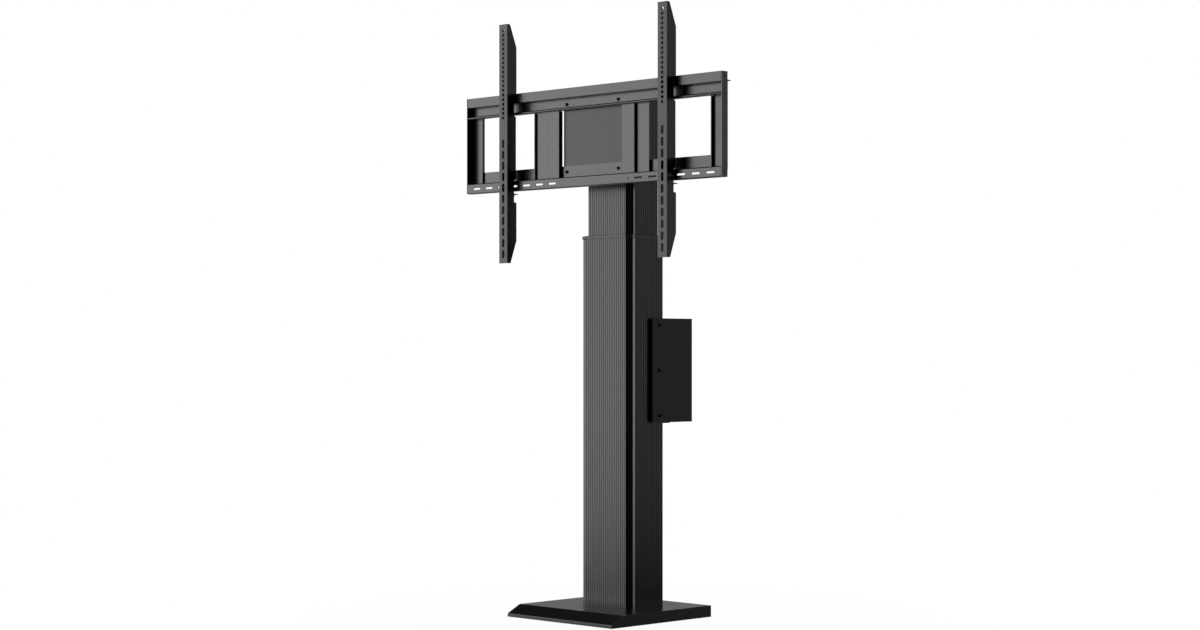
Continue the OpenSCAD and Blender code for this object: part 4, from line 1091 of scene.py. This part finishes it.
def rear_housing():
    """Folded box on the column's back, with a shelf at its top and bottom."""
    (x0, y0, z0), (x1, y1, z1) = box_of("rear_housing")
    h = HOUSING_T / 2
    lip = OUTER["w"] / 2 + RUN
    path = [
        (lip, y0 + h), (x1 - h, y0 + h), (x1 - h, y1 - h), (x0 + h, y1 - h), (x0 + h, y0 + h),
        (-lip, y0 + h)
    ]
    sheet = bent_outline(path, HOUSING_T, HOUSING_BEND)
    box = piece("rear_housing_sheet", prism(sheet, "z", z0, z1), HOUSING_COAT)
    side_view = [(y0, z0), (y1 + OVER, z0), (y1 + OVER, z1), (y0, z1)]
    side_view = rounded(side_view, [HOUSING_CORNER, 0, 0, HOUSING_CORNER], 8)
    carve(box, prism(side_view, "x", x0 - OVER, x1 + OVER), "INTERSECT")
    for z in (z0, z1 - HOUSING_T):
        shelf = block((x0 + h, HOUSING_SHELF_Y, z), (x1 - h, y1 - h, z + HOUSING_T))
        carve(box, shelf, "UNION")
    break_edges(box, 0.4)
    mid = (z0 + z1) / 2
    length, width = HOUSING_SLOT
    for x in (x0 + h, x1 - h):
        hole_row(
            box, 3, (x, y0 + HOUSING_SCREW_Y, mid - HOUSING_SCREW_PITCH), (0, 0, HOUSING_SCREW_PITCH),
            width, length, HOUSING_T + 2 * OVER, SIDEWAYS
        )
    (ix0, iy0, _), (ix1, iy1, _) = box_of("mains_inlet")
    dx, dy = (flange - INLET_GAP for flange in INLET_FLANGE)
    carve(box, block((ix0 + dx, iy0 + dy, z0 - OVER), (ix1 - dx, iy1 - dy, z0 + HOUSING_T + OVER)))
    show(box, "stand", "housing_coat", "rear_housing")


# Screws

def side_screws(name, spots, size, length, material, **form):
    """Screws that enter from both sides: spots are given for the right side."""
    sides = []
    for side in (-1, 1):
        here = [(side * x, y, z) for x, y, z in spots]
        sides.append(screws(f"{name} {side}", here, (-side, 0, 0), size, length, material, **form))
    return join(name, sides, material)


def frame_screws():
    length = high("frame_screws")[1] - WEB_FRONT
    made = screws(
        "frame_screws_socket", rail_screw_spots(), (0, 1, 0), FRAME_SCREW, length, BLACK_SCREWS
    )
    show(made, "lift_head", "black_screws", "frame_screws")


def housing_screws():
    (_, _, z0), (x1, _, z1) = box_of("housing_screws")
    seat = x1 - HOUSING_SCREW[1]
    length = seat - (OUTER["w"] / 2 - OUTER["wall"])
    spots = [(seat, HOUSING_SCREW_Y, (z0 + z1) / 2 + k * HOUSING_SCREW_PITCH) for k in (-1, 0, 1)]
    made = side_screws("housing_screws_socket", spots, HOUSING_SCREW, length, BLACK_SCREWS)
    show(made, "stand", "black_screws", "housing_screws")


def adapter_bolts():
    """Hexagon bolts through the cheeks, four to a side."""
    (_, y0, z0), (x1, y1, z1) = box_of("adapter_bolts")
    r, head_h, _ = ADAPTER_BOLT
    seat = x1 - head_h
    length = seat - (INNER["w"] / 2 - INNER["wall"] - SEAT - BACKING_T - BOLT_END)
    spots = [(seat, y, z) for y in (y0 + r, y1 - r) for z in (z0 + r, z1 - r)]
    made = side_screws(
        "adapter_bolts_hexagon", spots, ADAPTER_BOLT, length, ZINC, sides=6, socket=0.01, edge=0.5
    )
    show(made, "lift_head", "zinc_screws", "adapter_bolts")


def corner_screws(node, body, size, down):
    """Four upright screws at the corners of their node's box, with their shanks down or up."""
    (x0, y0, z0), (x1, y1, z1) = box_of(node)
    r, head_h, _ = size
    seat = z1 - head_h if down else z0 + head_h
    length = seat - z0 if down else z1 - seat
    spots = [(x, y, seat) for x in (x0 + r, x1 - r) for y in (y0 + r, y1 - r)]
    made = screws(node + "_socket", spots, (0, 0, -1 if down else 1), size, length, ZINC)
    show(made, body, "zinc_screws", node)


# Drive

def spindle():
    """Spindle with its collar and a thread of two starts."""
    (_, _, z0), (x1, _, z1) = box_of("spindle")
    thrust = z0 + TAIL_L - RUN + BEARING_H + SEAT
    bm = prism(circle(0, 0, CORE_R, 40), "z", thrust, z1)
    prism(circle(0, 0, TAIL_R, 40), "z", z0, thrust + TAIL_IN, bm)
    prism(circle(0, 0, x1, 48), "z", thrust, thrust + SHOULDER_H, bm)
    rod = piece("spindle_threaded", bm, STEEL)
    bottom = thrust + THREAD_START
    grow(
        rod, THREAD, Starts=2, Lead=THREAD_LEAD * MM, Bottom=bottom * MM,
        Height=(z1 - THREAD_STOP - bottom) * MM, Radius=THREAD_R * MM, Ridge=THREAD_RIDGE * MM
    )
    show(rod, "spindle_drive", "bright_steel", "spindle")


# Nodes whose solids are right as they are, by finish

KEPT = {
    BALLAST: ["ballast_plate"],
    GLIDE_PLASTIC: ["upper_glides", "lower_glides"],
    CASTING: ["gearbox"],
    MOTOR_CAN: ["motor"],
    STEEL: ["thrust_bearing", "spindle_stop"],
    BRONZE: ["spindle_nut"],
    UNIT_PLASTIC: ["control_unit", "mains_inlet"],
    COAT: ["left_lock_plate", "right_lock_plate"],
    BLACK_SCREWS: ["left_lock_screw", "right_lock_screw"],
    ZINC: [
        "foot_spacers", "column_bolts", "gearbox_screws", "nut_screws", "nut_carrier", "carrier_screws",
        "backing_plates", "housing_spacers"
    ]
}


def finish_kept_nodes():
    for material, names in KEPT.items():
        for name in names:
            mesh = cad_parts[name].data
            mesh.materials.clear()
            mesh.materials.append(material)


# Studio

def floor():
    """Pale floor that is lit near the stand and fades to the white of the backdrop."""
    bm = bmesh.new()
    half = 30.0
    corners = ((-half, -half), (half, -half), (half, half), (-half, half))
    bm.faces.new([bm.verts.new((x, y, 0)) for x, y in corners])
    finish = Finish("pale floor", grey(0.86), 0.9, specular=0.1)
    tree = finish.tree
    away = wired(tree, "ShaderNodeVectorMath", {0: finish.place}, operation="LENGTH")
    fade = ramp(tree, away.outputs["Value"], (0.25, 1.0, 0.975, 1.0))
    glow = wired(tree, "ShaderNodeEmission", {0: (1, 1, 1, 1)})
    mix = wired(tree, "ShaderNodeMixShader", {0: fade, 1: finish.shader.outputs[0], 2: glow.outputs[0]})
    tree.links.new(mix.outputs[0], tree.nodes["Material Output"].inputs[0])
    obj = placed("floor", bm, finish.material)
    obj.visible_glossy = obj.visible_diffuse = obj.visible_shadow = False


def lamp(name, place, target, width, height, power):
    """Soft rectangular light, not seen by the camera."""
    data = bpy.data.lights.new(name, "AREA")
    data.shape = "RECTANGLE"
    data.size = width
    data.size_y = height
    data.energy = power
    obj = bpy.data.objects.new(name, data)
    obj.location = place
    obj.rotation_euler = (Vector(target) - Vector(place)).to_track_quat("-Z", "Y").to_euler()
    obj.visible_camera = False
    bpy.context.scene.collection.objects.link(obj)


def studio():
    """White backdrop with four soft lights: key at the left front, two dimmer behind, one overhead.

    What the object mirrors of the world is dim, with a soft fill from below on all sides but the
    right front, where the photo's corner cuts are black.
    """
    world = bpy.data.worlds.new("studio")
    bpy.context.scene.world = world
    world.use_nodes = True
    tree = world.node_tree
    way = wired(tree, "ShaderNodeTexCoord", {}).outputs["Generated"]
    shares = []
    for axis, span in (((-0.71, 0.71, 0), (-0.8, -0.3, 0, 0.75)), ((0, 0, -1), (0.14, 0.42, 0, 1))):
        dot = wired(tree, "ShaderNodeVectorMath", {0: way, 1: axis}, operation="DOT_PRODUCT")
        shares.append(ramp(tree, dot.outputs["Value"], span))
    fill = {0: shares[0], 1: shares[1], 2: 0.03}
    fill = wired(tree, "ShaderNodeMath", fill, operation="MULTIPLY_ADD").outputs[0]
    dim = wired(tree, "ShaderNodeBackground", {0: (1, 1, 1, 1), 1: fill})
    white = wired(tree, "ShaderNodeBackground", {0: (1, 1, 1, 1)})
    seen = wired(tree, "ShaderNodeLightPath", {}).outputs["Is Camera Ray"]
    mix = wired(tree, "ShaderNodeMixShader", {0: seen, 1: dim.outputs[0], 2: white.outputs[0]})
    tree.links.new(mix.outputs[0], tree.nodes["World Output"].inputs[0])
    lamp("key", (-3.25, -3.4, 1.35), (0, 0, 1.35), 4.4, 3.5, 178)
    lamp("back right", (3.3, 3.3, 1.4), (0, 0, 1.4), 3.4, 3.2, 21.5)
    lamp("back left", (-8.5, 8.5, 1.9), (0, 0, 0.3), 9.0, 2.2, 29)
    lamp("overhead", (0.0, 0.4, 4.2), (0, 0, 0), 3.6, 3.6, 58)
    view = bpy.context.scene.view_settings
    view.view_transform = "Standard"
    view.look = "None"


def camera():
    data = bpy.data.cameras.new("camera")
    data.lens = LENS
    data.sensor_width = SENSOR
    data.shift_y = CAMERA_SHIFT_UP
    obj = bpy.data.objects.new("camera", data)
    obj.location = CAMERA_PLACE
    obj.rotation_euler = [math.radians(a) for a in CAMERA_TURN]
    bpy.context.scene.collection.objects.link(obj)
    bpy.context.scene.camera = obj


camera()
studio()
floor()
base_cover()
foot_plate()
anti_slip_mat()
corner_screws("cover_screws", "stand", COVER_SCREW, False)
column("outer_column", OUTER, "stand")
column("inner_column", INNER, "lift_head")
column_collar()
head_plate()
corner_screws("head_screws", "lift_head", HEAD_SCREW, True)
top_rail()
bottom_rail()
adapter_bracket()
weld_beads()
adapter_bolts()
frame_screws()
for side in (-1, 1):
    end_member(side)
    strut(side)
    arm(side)
rear_housing()
housing_screws()
spindle()
finish_kept_nodes()
